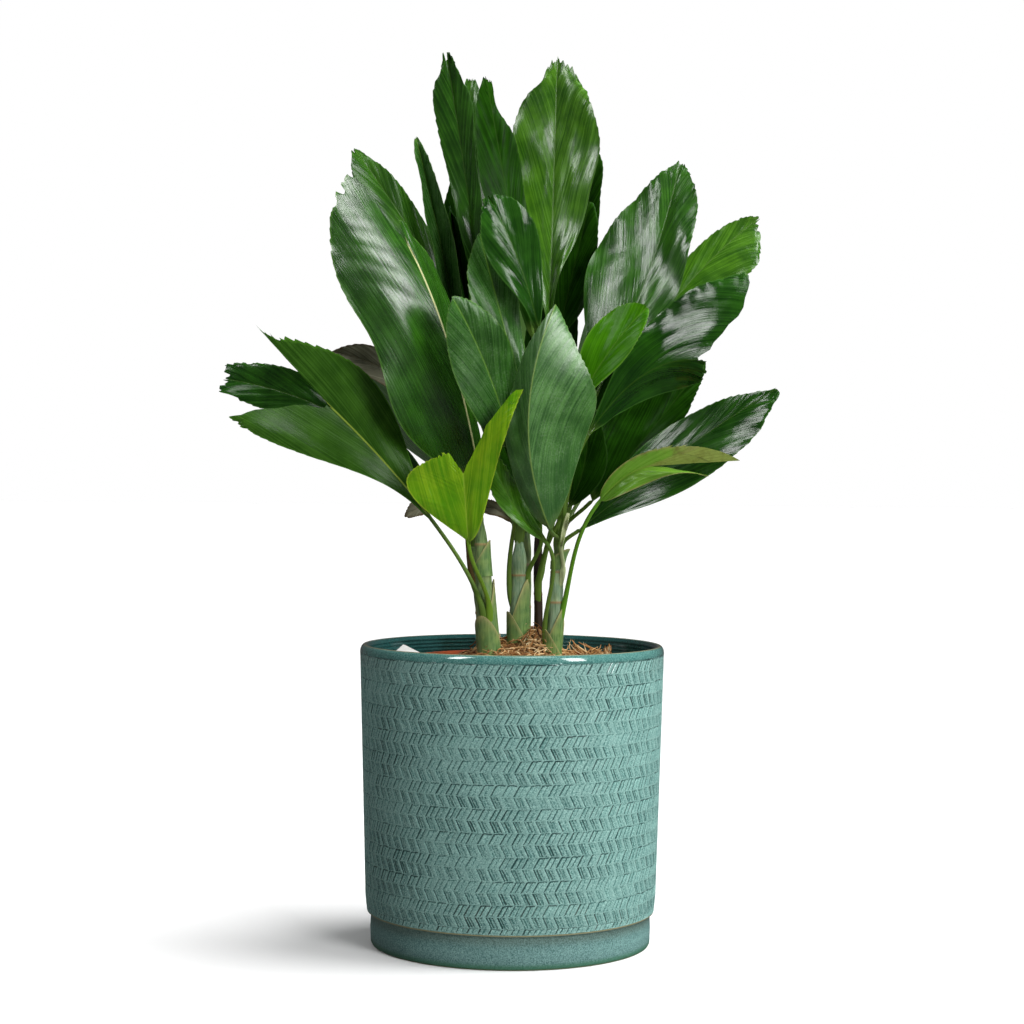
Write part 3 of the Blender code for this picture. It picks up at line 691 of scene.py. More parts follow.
@dataclass(frozen=True)
class MouldedPlastic(Finish):
    """Moulded polypropylene or thin vinyl: an even colour under a fine matt grain.

    Smears of dust break up its dull shine. grain is the grain's size in metres.
    """

    name: str
    colour: str
    worn: str
    grain: float = 0.6 * MM
    roughness: float = 0.5

    def surface(self, tree: bpy.types.NodeTree) -> dict[str, Feed]:
        """Works the plastic out, with its moulded grain and faint smears.

        Args:
            tree: the material's node tree.

        Returns:
            A value or an output for each socket named.
        """
        add = partial(add_node, tree)
        body = add(Kind.OBJECT_PLACE)
        grain = add(Kind.NOISE, body, 1 / self.grain, 2, 0.5)
        smeared = add(Kind.STRETCH, body, (1 / (9 * MM), 1 / (9 * MM), 1 / (4 * MM)))
        smear = add(Kind.NOISE, smeared, 1, 4, 0.6)
        return {
            "Base Color": self.layered(tree, self.colour, (smear, self.worn, 0.45, 0.75, 0, 0.6)),
            "Roughness": add(Kind.RANGE, smear, 0.3, 0.7, self.roughness - 0.08,
                             self.roughness + 0.1),
            "IOR": 1.49,
            "Normal": add(Kind.BUMP, grain, 0.1 * MM, 0.4),
        }


@dataclass(frozen=True)
class BackdropPaper(Finish):
    """White paper backdrop, matt: pale to the camera, and greyer in the light it throws back."""

    name: str = "white_paper_backdrop"
    seen: str = "f4f4f4"
    thrown: str = "8c8c8c"

    def surface(self, tree: bpy.types.NodeTree) -> dict[str, Feed]:
        """Works the paper out for the camera and for other rays.

        Args:
            tree: the material's node tree.

        Returns:
            A value or an output for each socket named.
        """
        camera = add_node(tree, Kind.CAMERA_RAY)
        return {
            "Base Color": add_node(tree, Kind.MIX, camera, self.thrown, self.seen),
            "Roughness": 0.9,
            "Specular IOR Level": 0.0,
        }


# The planter


@dataclass
class Planter:
    """The glazed planter: a smooth foot, a stamped wall, a rolled lip and a plain inside."""

    radius: float = 0.120
    height: float = 0.2348
    shoulder: float = 0.1145
    skirt: float = 0.1133
    wall: float = 0.007
    lip_height: float = 0.0062
    foot_radius: float = 0.110
    foot_height: float = 0.0254
    foot_chamfer: float = 0.002
    skirt_height: float = 0.012
    inside_corner: float = 0.006
    middle_ring: float = 0.03
    # The stamp: 22 full rows and a half row, each of 85 units of about 8.6 mm
    stamp_top: float = 0.2285
    row_height: float = 0.00895
    full_rows: int = 22
    half_row: float = 0.0041
    units: int = 85
    unit_columns: int = 8
    press: float = 0.0006
    smooth_depth: float = 0.45
    lip_points: tuple = (8, 6)
    seed: int = 5
    finish: Finish = GlazedStoneware()

    # Heights within a row, from the light line below it to the dark line under the next
    rise = np.array([0.0, 0.08, 0.84, 0.92])
    # Places of a unit's eight columns and how deep each is pressed, for either lean
    wide_at = np.array([0.0, 0.10, 0.21, 0.46, 0.55, 0.64, 0.84, 0.93])
    wide_deep = np.array([0.0, 1.2, 0.16, 0.14, 0.80, 0.14, 0.16, 0.0])
    twin_at = np.array([0.0, 0.10, 0.22, 0.38, 0.49, 0.66, 0.76, 0.88])
    twin_deep = np.array([0.0, 1.05, 0.08, 0.75, 0.06, 0.50, 0.0, 0.0])

    @property
    def columns(self) -> int:
        """Points in each ring."""
        return self.units * self.unit_columns

    @property
    def stamp_low(self) -> float:
        """Where the stamped rows start, above the underside."""
        return self.stamp_top - self.full_rows * self.row_height - self.half_row

    def wall_radius(self, height: np.ndarray | float) -> np.ndarray:
        """The plain wall's outer radius at a height: skirt, then shoulder, then the rim.

        Args:
            height: metres above the underside.

        Returns:
            The radius, straight between those three.
        """
        heights = [self.foot_height + self.foot_chamfer, self.foot_height + self.skirt_height,
                   self.height - self.wall / 2]
        return np.interp(height, heights, [self.skirt, self.shoulder, self.radius])

    def stamped_row(self, rng: np.random.Generator, row: int, low: float,
                    climbed: float) -> tuple[list, list, list]:
        """One row of the stamp, as four rings.

        On the light line below the row the columns stand half way between their places and
        even ones, and nothing is pressed there. Under the next row's line a stroke is at
        least as deep as its unit's share across, so that it ends in a dark hook.

        Args:
            rng: the seeded source of each stroke's place and depth.
            row: the row's number from below.
            low: the row's lower edge, above the underside.
            climbed: how far the rows below have leant, along the wall.

        Returns:
            Angles, heights and depths of the four rings.
        """
        count = self.unit_columns
        tall = self.half_row if row == 0 else self.row_height
        lean, at, deep = Lean.LEFT, self.twin_at, self.twin_deep
        if row % 2 == 0:
            lean, at, deep = Lean.RIGHT, self.wide_at, self.wide_deep
        jitter = rng.normal(0, 0.030, (self.units, count)) * (deep > 0.02)
        strength = np.repeat(rng.uniform(0.75, 1.15, self.units), count)
        strength *= rng.uniform(0.55, 1.10, len(strength))
        across = np.repeat(rng.uniform(0.2, 0.9, self.units), count)
        unit_of = np.repeat(np.arange(self.units), count)
        place = unit_of + (at + jitter).ravel()
        even = unit_of + np.tile(np.arange(count) / count, self.units)
        deep = np.tile(deep, self.units)
        angles, heights, depths = [], [], []
        for share in self.rise:
            here = (place + even) / 2 if share == 0 else place
            pressed = 0 * deep if share == 0 else deep * strength
            if share == self.rise[-1]:
                pressed = np.where(deep > 0.12, np.maximum(pressed, across), pressed)
            shift = climbed + lean.value * tall * share
            angles.append(2 * math.pi * here / self.units + shift / self.shoulder)
            heights.append(np.full(len(here), low + tall * share))
            depths.append(pressed)
        return angles, heights, depths

    def stamped_rings(self) -> tuple[np.ndarray, np.ndarray]:
        """The stamped wall: a grid whose columns lean with each row, sunk by the stamp.

        A point's angle is its unit and place in the unit over the number of units, plus the
        rows' zigzag, which adds each row's lean times the height climbed. Its radius is the
        plain wall's less the press, which is the column's depth times the row's, times a
        slow random swell, because hand stamping presses some places lightly.

        Returns:
            Points as (ring, column, xyz), and how deep each is pressed, from 0 to 1.15.
        """
        rng = np.random.default_rng(self.seed)
        angles, heights, depths = [], [], []
        climbed, low = 0.0, self.stamp_low
        for row in range(self.full_rows + 1):
            rings = self.stamped_row(rng, row, low, climbed)
            for kept, new in zip((angles, heights, depths), rings):
                kept.extend(new)
            tall = self.half_row if row == 0 else self.row_height
            climbed += (Lean.RIGHT if row % 2 == 0 else Lean.LEFT).value * tall
            low += tall
        angles, heights, depths = (np.array(rows) for rows in (angles, heights, depths))
        swell = ripple(rng, np.sin(angles), heights * 12, 5, 1.2)
        swell += 0.6 * ripple(rng, np.cos(2 * angles) * 2, heights * 20, 5, 1.5)
        depths = np.clip(depths * np.clip(0.92 + 0.15 * swell, 0.5, 1.15), 0, 1.15)
        waver = ripple(rng, np.sin(angles) * 9, heights * 30, 8, 2.0)
        heights = heights + 0.25 * MM * waver
        return ring_of(self.wall_radius(heights) - self.press * depths, heights, angles), depths

    def base_profile(self) -> list[tuple[float, float]]:
        """The underside, the foot with its rounded edges and the skirt up to the stamp.

        Returns:
            A radius and a height for each ring.
        """
        foot, chamfer, top = self.foot_radius, self.foot_chamfer, self.foot_height
        swell, lap = 0.4 * MM, 0.2 * MM
        return [(self.middle_ring, 0), (foot - chamfer, 0), (foot - chamfer * 0.4, chamfer * 0.2),
                (foot, chamfer), (foot + swell, top / 2), (foot, top - chamfer / 2),
                (foot + swell + lap, top - lap), (self.skirt - chamfer / 2, top),
                (self.skirt - chamfer * 0.12, top + chamfer * 0.35),
                (float(self.wall_radius(self.stamp_low)), self.stamp_low - 2 * lap)]

    def lip_profile(self) -> list[tuple[float, float]]:
        """The lip: a tall quarter ellipse outside, and a plain quarter circle inside.

        Returns:
            A radius and a height for each ring.
        """
        half = self.wall / 2
        outer, inner = self.lip_points
        profile = []
        for tall, angles in ((self.lip_height, np.linspace(0, 90, outer)),
                             (half, np.linspace(105, 180, inner))):
            profile += [(self.radius - half + half * math.cos(a),
                         self.height - tall + tall * math.sin(a)) for a in np.radians(angles)]
        return profile

    def inside_profile(self) -> list[tuple[float, float]]:
        """The plain inside, down to the floor and in to its middle.

        Returns:
            A radius and a height for each ring.
        """
        inner, corner = self.shoulder - self.wall, self.inside_corner
        return [(inner, self.foot_height + self.skirt_height),
                (inner - corner * 0.3, PLANTER_FLOOR + corner * 0.6),
                (inner - corner, PLANTER_FLOOR), (self.middle_ring, PLANTER_FLOOR)]

    def build(self) -> bpy.types.Object:
        """Builds the foot, the stamped wall, the lip and the inside as one closed solid.

        Its stamp attribute holds the depth, whether a point is inside, and whether it is on
        the smooth lip or inside.

        Returns:
            The planter, which replaces its CAD node.
        """
        base, lip, inside = self.base_profile(), self.lip_profile(), self.inside_profile()
        wall, depths = self.stamped_rings()
        rings = [profile_rings(base, self.columns), wall,
                 profile_rings(lip + inside, self.columns)]
        piece = turned_solid("glazed_planter", np.concatenate(rings))
        stamp = np.zeros((len(piece.data.vertices), 3))
        start = len(base) * self.columns
        end = start + depths.size
        stamp[:, 0] = self.smooth_depth
        stamp[start:end, 0] = depths.ravel()
        stamp[end + (self.lip_points[0] + 1) * self.columns:, 1] = 1.0
        stamp[end:, 2] = 1.0
        put_attribute(piece, "stamp", stamp)
        piece.data.materials.append(self.finish.material())
        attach(piece, "root")
        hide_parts("planter")
        return piece


# Pot, soil, mat and label


@dataclass
class PotContents:
    """What fills the planter: the grower's pot, its soil, the coir mat, strands and a label.

    The label leans from upright, is turned about its own length and heads from -X towards +Y.
    label_buried is the share of its length below the point where it rests on the pot's rim.
    """

    rim_radius: float = 0.084
    base_radius: float = 0.062
    wall: float = 0.0016
    roll: float = 0.0030
    rim_height: float = 0.012
    rim_rounding: float = 0.0007
    base_rounding: float = 0.002
    middle_ring: float = 0.02
    pot_columns: int = 128
    soil_columns: int = 96
    soil_rings: int = 26
    soil_lumps: float = 1.1 * MM
    mat_radius: float = 0.066
    mat_height: float = 0.018
    mat_edge: float = 0.004
    mat_columns: int = 120
    mat_rings: int = 40
    coarse_lumps: float = 1.3 * MM
    fine_lumps: float = 0.6 * MM
    # The loose strands: their number, points and sizes, and the heap that they form
    strands: int = 640
    strand_points: int = 9
    strand_sides: int = 4
    strand_length: tuple = (0.008, 0.026)
    strand_radius: tuple = (0.00025, 0.00070)
    strand_spread: float = 0.044
    strand_limit: float = 0.078
    strand_aside: float = 0.010
    tuft_share: float = 0.17
    heap_height: float = 0.013
    heap_middle: tuple = (0.019, -0.002)
    heap_width: float = 0.012
    seed: int = 21
    label_width: float = 0.020
    label_length: float = 0.075
    label_thickness: float = 0.0009
    label_corner: float = 0.0015
    label_lean: float = math.radians(65)
    label_turn: float = math.radians(20)
    label_heading: float = math.radians(14)
    label_sideways: float = -0.014
    label_height: float = 0.2268
    label_buried: float = 0.87
    # The label's layers: each a share of its thickness, and how far its outline draws in
    label_layers: tuple = ((-0.5, 0.9), (-0.5, 0.985), (-0.3, 1), (0.3, 1), (0.5, 0.985),
                           (0.5, 0.9))

    def pot_radius(self, height: float) -> float:
        """The grower's pot's outer radius at a height above the planter's floor."""
        share = height / (POT_TOP - PLANTER_FLOOR)
        return self.base_radius + (self.rim_radius - self.base_radius) * share

    def build_pot(self) -> bpy.types.Object:
        """The grower's pot, turned from its profile, with a rolled rim and a thin wall.

        Returns:
            The pot, which replaces its CAD node.
        """
        low = PLANTER_FLOOR + CLEARANCE
        neck = self.pot_radius(POT_TOP - low - self.rim_height) - self.roll / 2
        neck_height = POT_TOP - self.rim_height
        rim, base, soft = self.rim_radius, self.base_radius, self.rim_rounding
        profile = [
            (self.middle_ring, low), (base - self.base_rounding, low),
            (base, low + self.base_rounding), (neck, neck_height),
            (rim - soft, neck_height + soft * 0.3), (rim, neck_height + soft),
            (rim, POT_TOP - soft), (rim - soft * 0.3, POT_TOP - soft * 0.3),
            (rim - soft, POT_TOP), (rim - self.roll + soft * 0.5, POT_TOP),
            (rim - self.roll, POT_TOP - soft * 0.5), (neck - self.wall, neck_height),
            (base - self.wall, low + self.wall), (self.middle_ring, low + self.wall),
        ]
        piece = turned_solid("grower_pot", profile_rings(profile, self.pot_columns))
        finish = MouldedPlastic("moulded_terracotta_polypropylene", "a8502c", "7a3f26")
        piece.data.materials.append(finish.material())
        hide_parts("nursery_pot")
        return piece

    def build_soil(self) -> bpy.types.Object:
        """The peat plug: plain below, its top a disc whose height swells at random by 1 mm.

        The swell is a sum of random sine waves over the place, drawn as rings that close in
        towards the middle.

        Returns:
            The soil, which replaces its CAD node.
        """
        rng = np.random.default_rng(self.seed)
        low = PLANTER_FLOOR + self.wall + 3 * CLEARANCE
        neck_height = POT_TOP - self.rim_height
        outside = self.pot_radius(neck_height - PLANTER_FLOOR) - self.roll / 2
        neck = outside - self.wall - 2 * CLEARANCE
        foot = self.base_radius - self.wall - 2 * CLEARANCE
        side = [(self.middle_ring, low), (foot, low), (neck, neck_height), (neck, SOIL_TOP)]
        top = [(r, SOIL_TOP) for r in np.linspace(neck - 2 * MM, 3 * MM, self.soil_rings)]
        rings = profile_rings(side + top, self.soil_columns)
        lumps = ripple(rng, rings[..., 0] * 60, rings[..., 1] * 60, 14, 2.4)[len(side):]
        rings[len(side):, :, 2] += self.soil_lumps * lumps - 0.4 * MM
        piece = turned_solid("peat_soil", rings)
        put_attribute(piece, "tone", rng.uniform(0.2, 0.8, len(piece.data.vertices)))
        finish = SpeckledFibre("damp_peat", ("120c08", "2a1d13", "4a3522"), 1.5 * MM, 0.95)
        piece.data.materials.append(finish.material())
        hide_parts("soil")
        return piece

    def mound(self, radius: np.ndarray) -> np.ndarray:
        """The mat's height above the soil: a low dome that flattens towards its edge."""
        share = np.clip(radius / self.mat_radius, 0, 1)
        return self.mat_edge + (self.mat_height - self.mat_edge) * (1 - share**2)**2

    def heap(self, x: np.ndarray, y: np.ndarray) -> np.ndarray:
        """How much higher the loose strands lie between the canes: a bell over the place."""
        off = (x - self.heap_middle[0]) ** 2 + (y - self.heap_middle[1]) ** 2
        return self.heap_height * np.exp(-off / self.heap_width**2)

    def build_mat(self) -> bpy.types.Object:
        """The coir mat: the dome plus coarse and fine lumps of about 1 mm, closed below.

        The lumps are sums of random sine waves over the place.

        Returns:
            The mat, which replaces its CAD node.
        """
        rng = np.random.default_rng(self.seed + 1)
        low = SOIL_TOP + CLEARANCE
        out = np.linspace(self.mat_radius, 2 * MM, self.mat_rings)
        up = low + self.mound(out)
        up[0] = low + self.mat_edge * 0.5
        profile = [(10 * MM, low), (self.mat_radius, low), *zip(out, up)]
        rings = profile_rings(profile, self.mat_columns)
        coarse = ripple(rng, rings[..., 0] * 50, rings[..., 1] * 50, 10, 1.6)
        fine = ripple(rng, rings[..., 0] * 150, rings[..., 1] * 150, 16, 2.2)
        rings[3:, :, 2] += self.coarse_lumps * coarse[3:] + self.fine_lumps * fine[3:]
        piece = turned_solid("coir_mat", rings)
        tone = 0.45 + 0.25 * np.concatenate([fine.ravel(), [0, 0]])
        put_attribute(piece, "tone", tone)
        tones = ("3a2414", "6b4526", "a87a48", "c9a878")
        piece.data.materials.append(SpeckledFibre("matted_coir", tones, 1.2 * MM).material())
        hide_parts("root_mat")
        return piece

    def strand_paths(self, rng: np.random.Generator) -> np.ndarray:
        """The strands' middle lines, each a curl of its own that lies on the mat.

        A strand starts on the mound and turns steadily at a random rate while it rises and
        sinks with a sine. One in six lies in a loose tuft by the right of the rim, one in six
        on the heap between the canes, and some stand up towards their far ends.

        Args:
            rng: the seeded source of every strand's place and turn.

        Returns:
            Points as (strand, point, xyz).
        """
        shape = (self.strands, 1)
        draw = partial(rng.uniform, size=shape)
        share = np.linspace(0, 1, self.strand_points)[None, :]
        radius = self.strand_spread * np.sqrt(draw(0.02, 1))
        around = draw(0, 2 * math.pi)
        group = draw(0, 1)
        in_tuft, on_heap = group < self.tuft_share, group > 1 - self.tuft_share
        radius = np.where(in_tuft, draw(0.048, 0.074), radius)
        around = np.where(in_tuft, draw(1.0, 2.0), around)
        radius = np.where(on_heap, draw(0.010, 0.030), radius)
        around = np.where(on_heap, draw(1.0, 2.2), around)
        step = draw(*self.strand_length) / (self.strand_points - 1)
        heading = draw(0, 2 * math.pi) + rng.normal(0, 2.2, shape) * share
        x = radius * np.sin(around) + np.cumsum(np.cos(heading) * step, axis=1)
        x = x + self.strand_aside
        y = -radius * np.cos(around) + np.cumsum(np.sin(heading) * step, axis=1)
        reach = np.hypot(x, y)
        inward = np.minimum(1, self.strand_limit / np.maximum(reach, 1e-6))
        x, y, reach = x * inward, y * inward, reach * inward
        stands = (draw(0, 1) < 0.22) * draw(2 * MM, 9 * MM)
        stands = np.where(in_tuft, draw(5 * MM, 15 * MM), stands)
        lift = draw(0.2 * MM, 1.8 * MM) + stands * share
        lift = lift + 1.0 * MM * np.sin(share * math.pi * draw(1, 2.5))
        z = SOIL_TOP + CLEARANCE + self.mound(reach) + self.heap(x, y) + lift
        return np.stack([x, y, z], axis=-1)

    def build_strands(self) -> bpy.types.Object:
        """Loose strands of coir: thin tubes along their paths, narrowing at both ends.

        A tube's point lies at the path's point plus its radius times the cosine of its angle
        to the side and the sine of it over.

        Returns:
            All the strands as one piece.
        """
        rng = np.random.default_rng(self.seed + 2)
        count, steps, sides = self.strands, self.strand_points, self.strand_sides
        path = self.strand_paths(rng)
        along = unit(np.gradient(path, axis=1))
        across = unit(np.cross(along, [0.0, 0.0, 1.0]) + 1e-9)
        over = np.cross(across, along)
        narrowing = 1 - 0.6 * np.abs(2 * np.linspace(0, 1, steps) - 1) ** 3
        thick = rng.uniform(*self.strand_radius, (count, 1)) * narrowing
        angle = even_angles(sides)
        tube = (path[:, :, None] + thick[..., None, None]
                * (np.cos(angle)[:, None] * across[:, :, None]
                   + np.sin(angle)[:, None] * over[:, :, None]))
        caps = np.array([[3, 2, 1, 0], [0, 1, 2, 3]]) + [[0], [(steps - 1) * sides]]
        one = np.concatenate([ring_faces(steps, sides), caps])
        faces = (one[None] + (np.arange(count) * steps * sides)[:, None, None]).reshape(-1, 4)
        piece = put_mesh("coir_strands", tube.reshape(-1, 3), faces.tolist(), sharp=80)
        put_attribute(piece, "tone", np.repeat(rng.uniform(0, 1, count), steps * sides))
        tones = ("5a3418", "a0703e", "c89c66", "ecd4a4")
        piece.data.materials.append(SpeckledFibre("dry_coir_strand", tones, 3 * MM, 0.7).material())
        return piece

    def label_outline(self) -> np.ndarray:
        """The label's outline, a rectangle with rounded corners, rest point at the origin.

        Returns:
            Places across the label and along it, in metres.
        """
        corner = self.label_corner
        quarter = np.radians(np.linspace(0, 90, 6))
        side = self.label_width / 2 - corner
        high = self.label_length * (1 - self.label_buried) - corner
        low = corner - self.label_length * self.label_buried
        corners = [(side, high, 0), (-side, high, 90), (-side, low, 180), (side, low, 270)]
        return np.concatenate([
            np.stack([u + corner * np.cos(quarter + math.radians(turn)),
                      v + corner * np.sin(quarter + math.radians(turn))], axis=-1)
            for u, v, turn in corners])

    def build_label(self) -> bpy.types.Object:
        """The bare stick label: a thin plate with rounded corners, leaning on the pot's rim.

        Each layer through its thickness is the outline, drawn in towards its middle.

        Returns:
            The label, which replaces its CAD node.
        """
        sine = math.sin(self.label_lean)
        lean = np.array([-sine * math.cos(self.label_heading),
                         sine * math.sin(self.label_heading), math.cos(self.label_lean)])
        level = unit(np.cross([0, 0, 1.0], lean))
        across = level * math.cos(self.label_turn)
        across = across + np.cross(level, lean) * math.sin(self.label_turn)
        flat = np.cross(lean, across)
        rest = np.array([self.roll - self.rim_radius, self.label_sideways, self.label_height])
        outline = self.label_outline()
        middle = np.array([0, self.label_length * (0.5 - self.label_buried)])
        layers = []
        for share, draw in self.label_layers:
            spot = middle + (outline - middle) * draw
            layers.append(rest + spot[:, :1] * across + spot[:, 1:] * lean
                          + flat * share * self.label_thickness)
        piece = turned_solid("stick_label", np.array(layers)[::-1])
        finish = MouldedPlastic("white_vinyl_label", "f1f1ee", "d8d8d2", 0.8 * MM, 0.4)
        piece.data.materials.append(finish.material())
        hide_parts("plant_label")
        return piece

    def build(self) -> list[bpy.types.Object]:
        """Builds the pot's contents, which all ride on the one body.

        Returns:
            The pieces.
        """
        pieces = [self.build_pot(), self.build_soil(), self.build_mat(), self.build_strands(),
                  self.build_label()]
        for piece in pieces:
            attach(piece, "root")
        return pieces


# Canes


@dataclass(frozen=True)
class Sheath:
    """The dry base of a fallen leaf that still clasps a cane.

    low and high are the shares of the cane's height between which it wraps the cane, facing
    is where its point stands, in degrees from -Y towards +X, and flare how far the point
    stands off, in millimetres.
    """

    low: float
    high: float
    facing: float
    flare: float = 1.2


@dataclass
class Cane:
    """A ringed stem, with the leaf sheaths that still wrap it.

    foot is its place on the soil and top its upper end. rings are the shares of its height at
    which fallen leaves have left a scar.
    """

    name: str
    foot: tuple
    top: tuple
    foot_radius: float
    top_radius: float
    rings: tuple
    slot: Slot = Slot.CANE
    bark: CaneBark = CaneBark("green_cane_bark", "86a068", "4c6c3c", "a8845a", "98a868")
    sheaths: tuple = ()
    root_depth: float = 0.020
    columns: int = 40
    rows: int = 120
    # The stem's narrowing at its top, and the height and width of each ring that rounds it off
    narrowing: float = 0.42
    round_off: tuple = ((0.0006, 0.93), (0.0009, 0.7), (0.0010, 0.3))
    # The sheaths' grids, how far their foot stands off the bark and half their thickness
    sheath_columns: int = 48
    sheath_rows: int = 16
    sheath_gap: float = 0.5 * MM
    sheath_half: float = 0.3 * MM
    sheath_point: float = 2.4

    @property
    def length(self) -> float:
        """The cane's height above the soil."""
        return self.top[2] - SOIL_TOP

    @property
    def rise(self) -> np.ndarray:
        """The direction in which the cane grows."""
        return unit(np.array(self.top) - [*self.foot, SOIL_TOP])

    def axis(self, height: np.ndarray | float) -> tuple[np.ndarray, np.ndarray]:
        """The cane's middle and radius at heights, rings aside.

        Args:
            height: heights above the planter's underside.

        Returns:
            Points on the axis, and radii.
        """
        foot = np.array([*self.foot, SOIL_TOP])
        share = (np.asarray(height) - SOIL_TOP) / self.length
        radius = self.foot_radius + (self.top_radius - self.foot_radius) * np.maximum(share, 0)
        return foot + (np.array(self.top) - foot) * share[..., None], radius

    def build_stem(self) -> bpy.types.Object:
        """The stem: rings along a straight axis, swelling at each leaf scar.

        The radius is the tapered one, drawn in by two fifths over the top fifth, plus a narrow
        swell at each scar and a shallow waist above it, plus a random ripple of 0.2 mm.

        Returns:
            The stem, which replaces its CAD node.
        """
        rng = np.random.default_rng(sum(map(ord, self.name)))
        height = np.linspace(SOIL_TOP - self.root_depth, self.top[2], self.rows)
        middle, radius = self.axis(height)
        climbed = (height - SOIL_TOP) / self.length
        scars = np.array([SOIL_TOP + ring * self.length for ring in self.rings])
        off = (height[:, None] - scars[None]) / MM
        scar = np.exp(-(off / 0.8) ** 2).max(axis=1)
        waist = np.exp(-((off - 4.0) / 3.0) ** 2).max(axis=1)
        angle = even_angles(self.columns)
        rough = ripple(rng, np.sin(angle)[None, :], height[:, None] * 40, 6, 1.2)
        radius = radius * (1 - self.narrowing * smooth_step(0.80, 1.0, climbed))
        wide = (radius * (1 + 0.08 * scar - 0.05 * waist))[:, None] + 0.2 * MM * rough
        rings = ring_of(wide, np.zeros(1), angle) + middle[:, None]
        caps = [ring_of(wide[-1] * share, np.full(1, up), angle) + middle[-1]
                for up, share in self.round_off]
        piece = turned_solid(self.name + "_stem", np.concatenate([rings, np.array(caps)]))
        end = len(caps) * self.columns
        rise = np.repeat(np.clip(climbed, 0, 1), self.columns)
        ring = np.concatenate([np.repeat(scar, self.columns), np.zeros(end + 2)])
        put_attribute(piece, "ring", ring)
        put_attribute(piece, "rise", np.concatenate([rise, np.ones(end), [0, 1]]))
        piece.data.materials.append(self.bark.material())
        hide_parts(self.name)
        return piece

    def build_sheath(self, number: int, sheath: Sheath) -> bpy.types.Object:
        """One clasping leaf base: a thin sleeve whose upper edge slants up to a point.

        The sleeve's height falls from its point to its far side as a power of the cosine of
        half the angle between, and it stands off the cane by the flare times the square of
        the share climbed.

        Args:
            number: the sheath's number on its cane, from one.
            sheath: its sizes.

        Returns:
            The sheath.
        """
        columns = self.sheath_columns
        angle = even_angles(columns)
        off = angle - math.radians(sheath.facing)
        point = np.abs(np.cos(off / 2)) ** self.sheath_point
        share = np.linspace(0, 1, self.sheath_rows)[:, None]
        tall = (sheath.high - sheath.low) * self.length * (0.30 + 0.70 * point)
        middle, radius = self.axis(SOIL_TOP + sheath.low * self.length + tall * share)
        radius = radius + self.sheath_gap + sheath.flare * MM * share**2 * point
        outside = ring_of(radius + self.sheath_half, np.zeros(1), angle) + middle
        inside = ring_of(radius - self.sheath_half, np.zeros(1), angle) + middle
        grid = np.concatenate([outside, inside[::-1]])
        last = (len(grid) - 1) * columns
        near = np.arange(columns)
        far = (near + 1) % columns
        foot = np.stack([last + near, last + far, far, near], axis=-1)
        faces = np.concatenate([ring_faces(len(grid), columns), foot])
        piece = put_mesh(f"{self.name}_sheath_{number}", grid.reshape(-1, 3), faces.tolist())
        edge = share**12 * np.ones(columns)
        put_attribute(piece, "ring", np.concatenate([edge, edge[::-1]]).ravel())
        put_attribute(piece, "rise", np.full(len(grid) * columns, 0.6))
        piece.data.materials.append(SHEATH_SKIN.material())
        return piece

    def build(self) -> list[bpy.types.Object]:
        """Builds the stem and its sheaths, riding on the one body.

        Returns:
            The pieces.
        """
        pieces = [self.build_stem()]
        pieces += [self.build_sheath(i + 1, sheath) for i, sheath in enumerate(self.sheaths)]
        for piece in pieces:
            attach(piece, "root")
        return pieces


BLUISH_BARK = CaneBark("bluish_cane_bark", "98b090", "587a58", "a07a50", "9cae78")
SHEATH_SKIN = CaneBark("leaf_sheath_skin", "7c9c5c", "48703c", "b0ac74", "92aa60", 0.34)
# Brown bark drawn near black: painted shade of the cane that stands behind the others
SHADED_BROWN_BARK = CaneBark("shaded_brown_cane_bark", "3a2a1c", "1c140c", "6b4a30", "2c2014", 0.6)

CANES = (
    Cane("cane_left", (-0.017, -0.016), (-0.026, -0.018, 0.334), 0.0090, 0.0048, (0.65, 0.83),
         sheaths=(Sheath(0.0, 0.36, 335, 1.8), Sheath(0.0, 0.60, 100, 0.8),
         Sheath(0.62, 0.86, 80, 1.0))),
    Cane("cane_middle", (0.005, 0.006), (0.005, 0.006, 0.322), 0.0096, 0.0048, (0.69,),
         bark=BLUISH_BARK, sheaths=(Sheath(0.0, 0.42, 290, 1.4), Sheath(0.0, 0.66, 60, 1.0),
         Sheath(0.0, 0.24, 70, 4.5))),
    Cane("cane_right", (0.031, -0.012), (0.036, -0.014, 0.312), 0.0070, 0.0046, (0.55, 0.80),
         bark=BLUISH_BARK, sheaths=(Sheath(0.0, 0.34, 285, 1.6), Sheath(0.0, 0.52, 72, 1.0),
         Sheath(0.82, 0.99, 60, 4.0))),
    Cane("cane_dark", (0.021, 0.030), (0.020, 0.030, 0.330), 0.0038, 0.0032, (0.5,),
         Slot.DARK_CANE, SHADED_BROWN_BARK),
    Cane("cane_green", (0.011, 0.050), (0.011, 0.052, 0.330), 0.0044, 0.0040, (0.4, 0.7)),
    Cane("cane_rear_left", (-0.020, 0.040), (-0.032, 0.046, 0.318), 0.0056, 0.0046, (0.4, 0.7),
         sheaths=(Sheath(0.0, 0.4, 180, 1.5),)),
    Cane("cane_rear_right", (0.034, 0.038), (0.037, 0.046, 0.314), 0.0056, 0.0046, (0.4, 0.7),
         sheaths=(Sheath(0.0, 0.4, 150, 1.5),)),
)


# Leaves


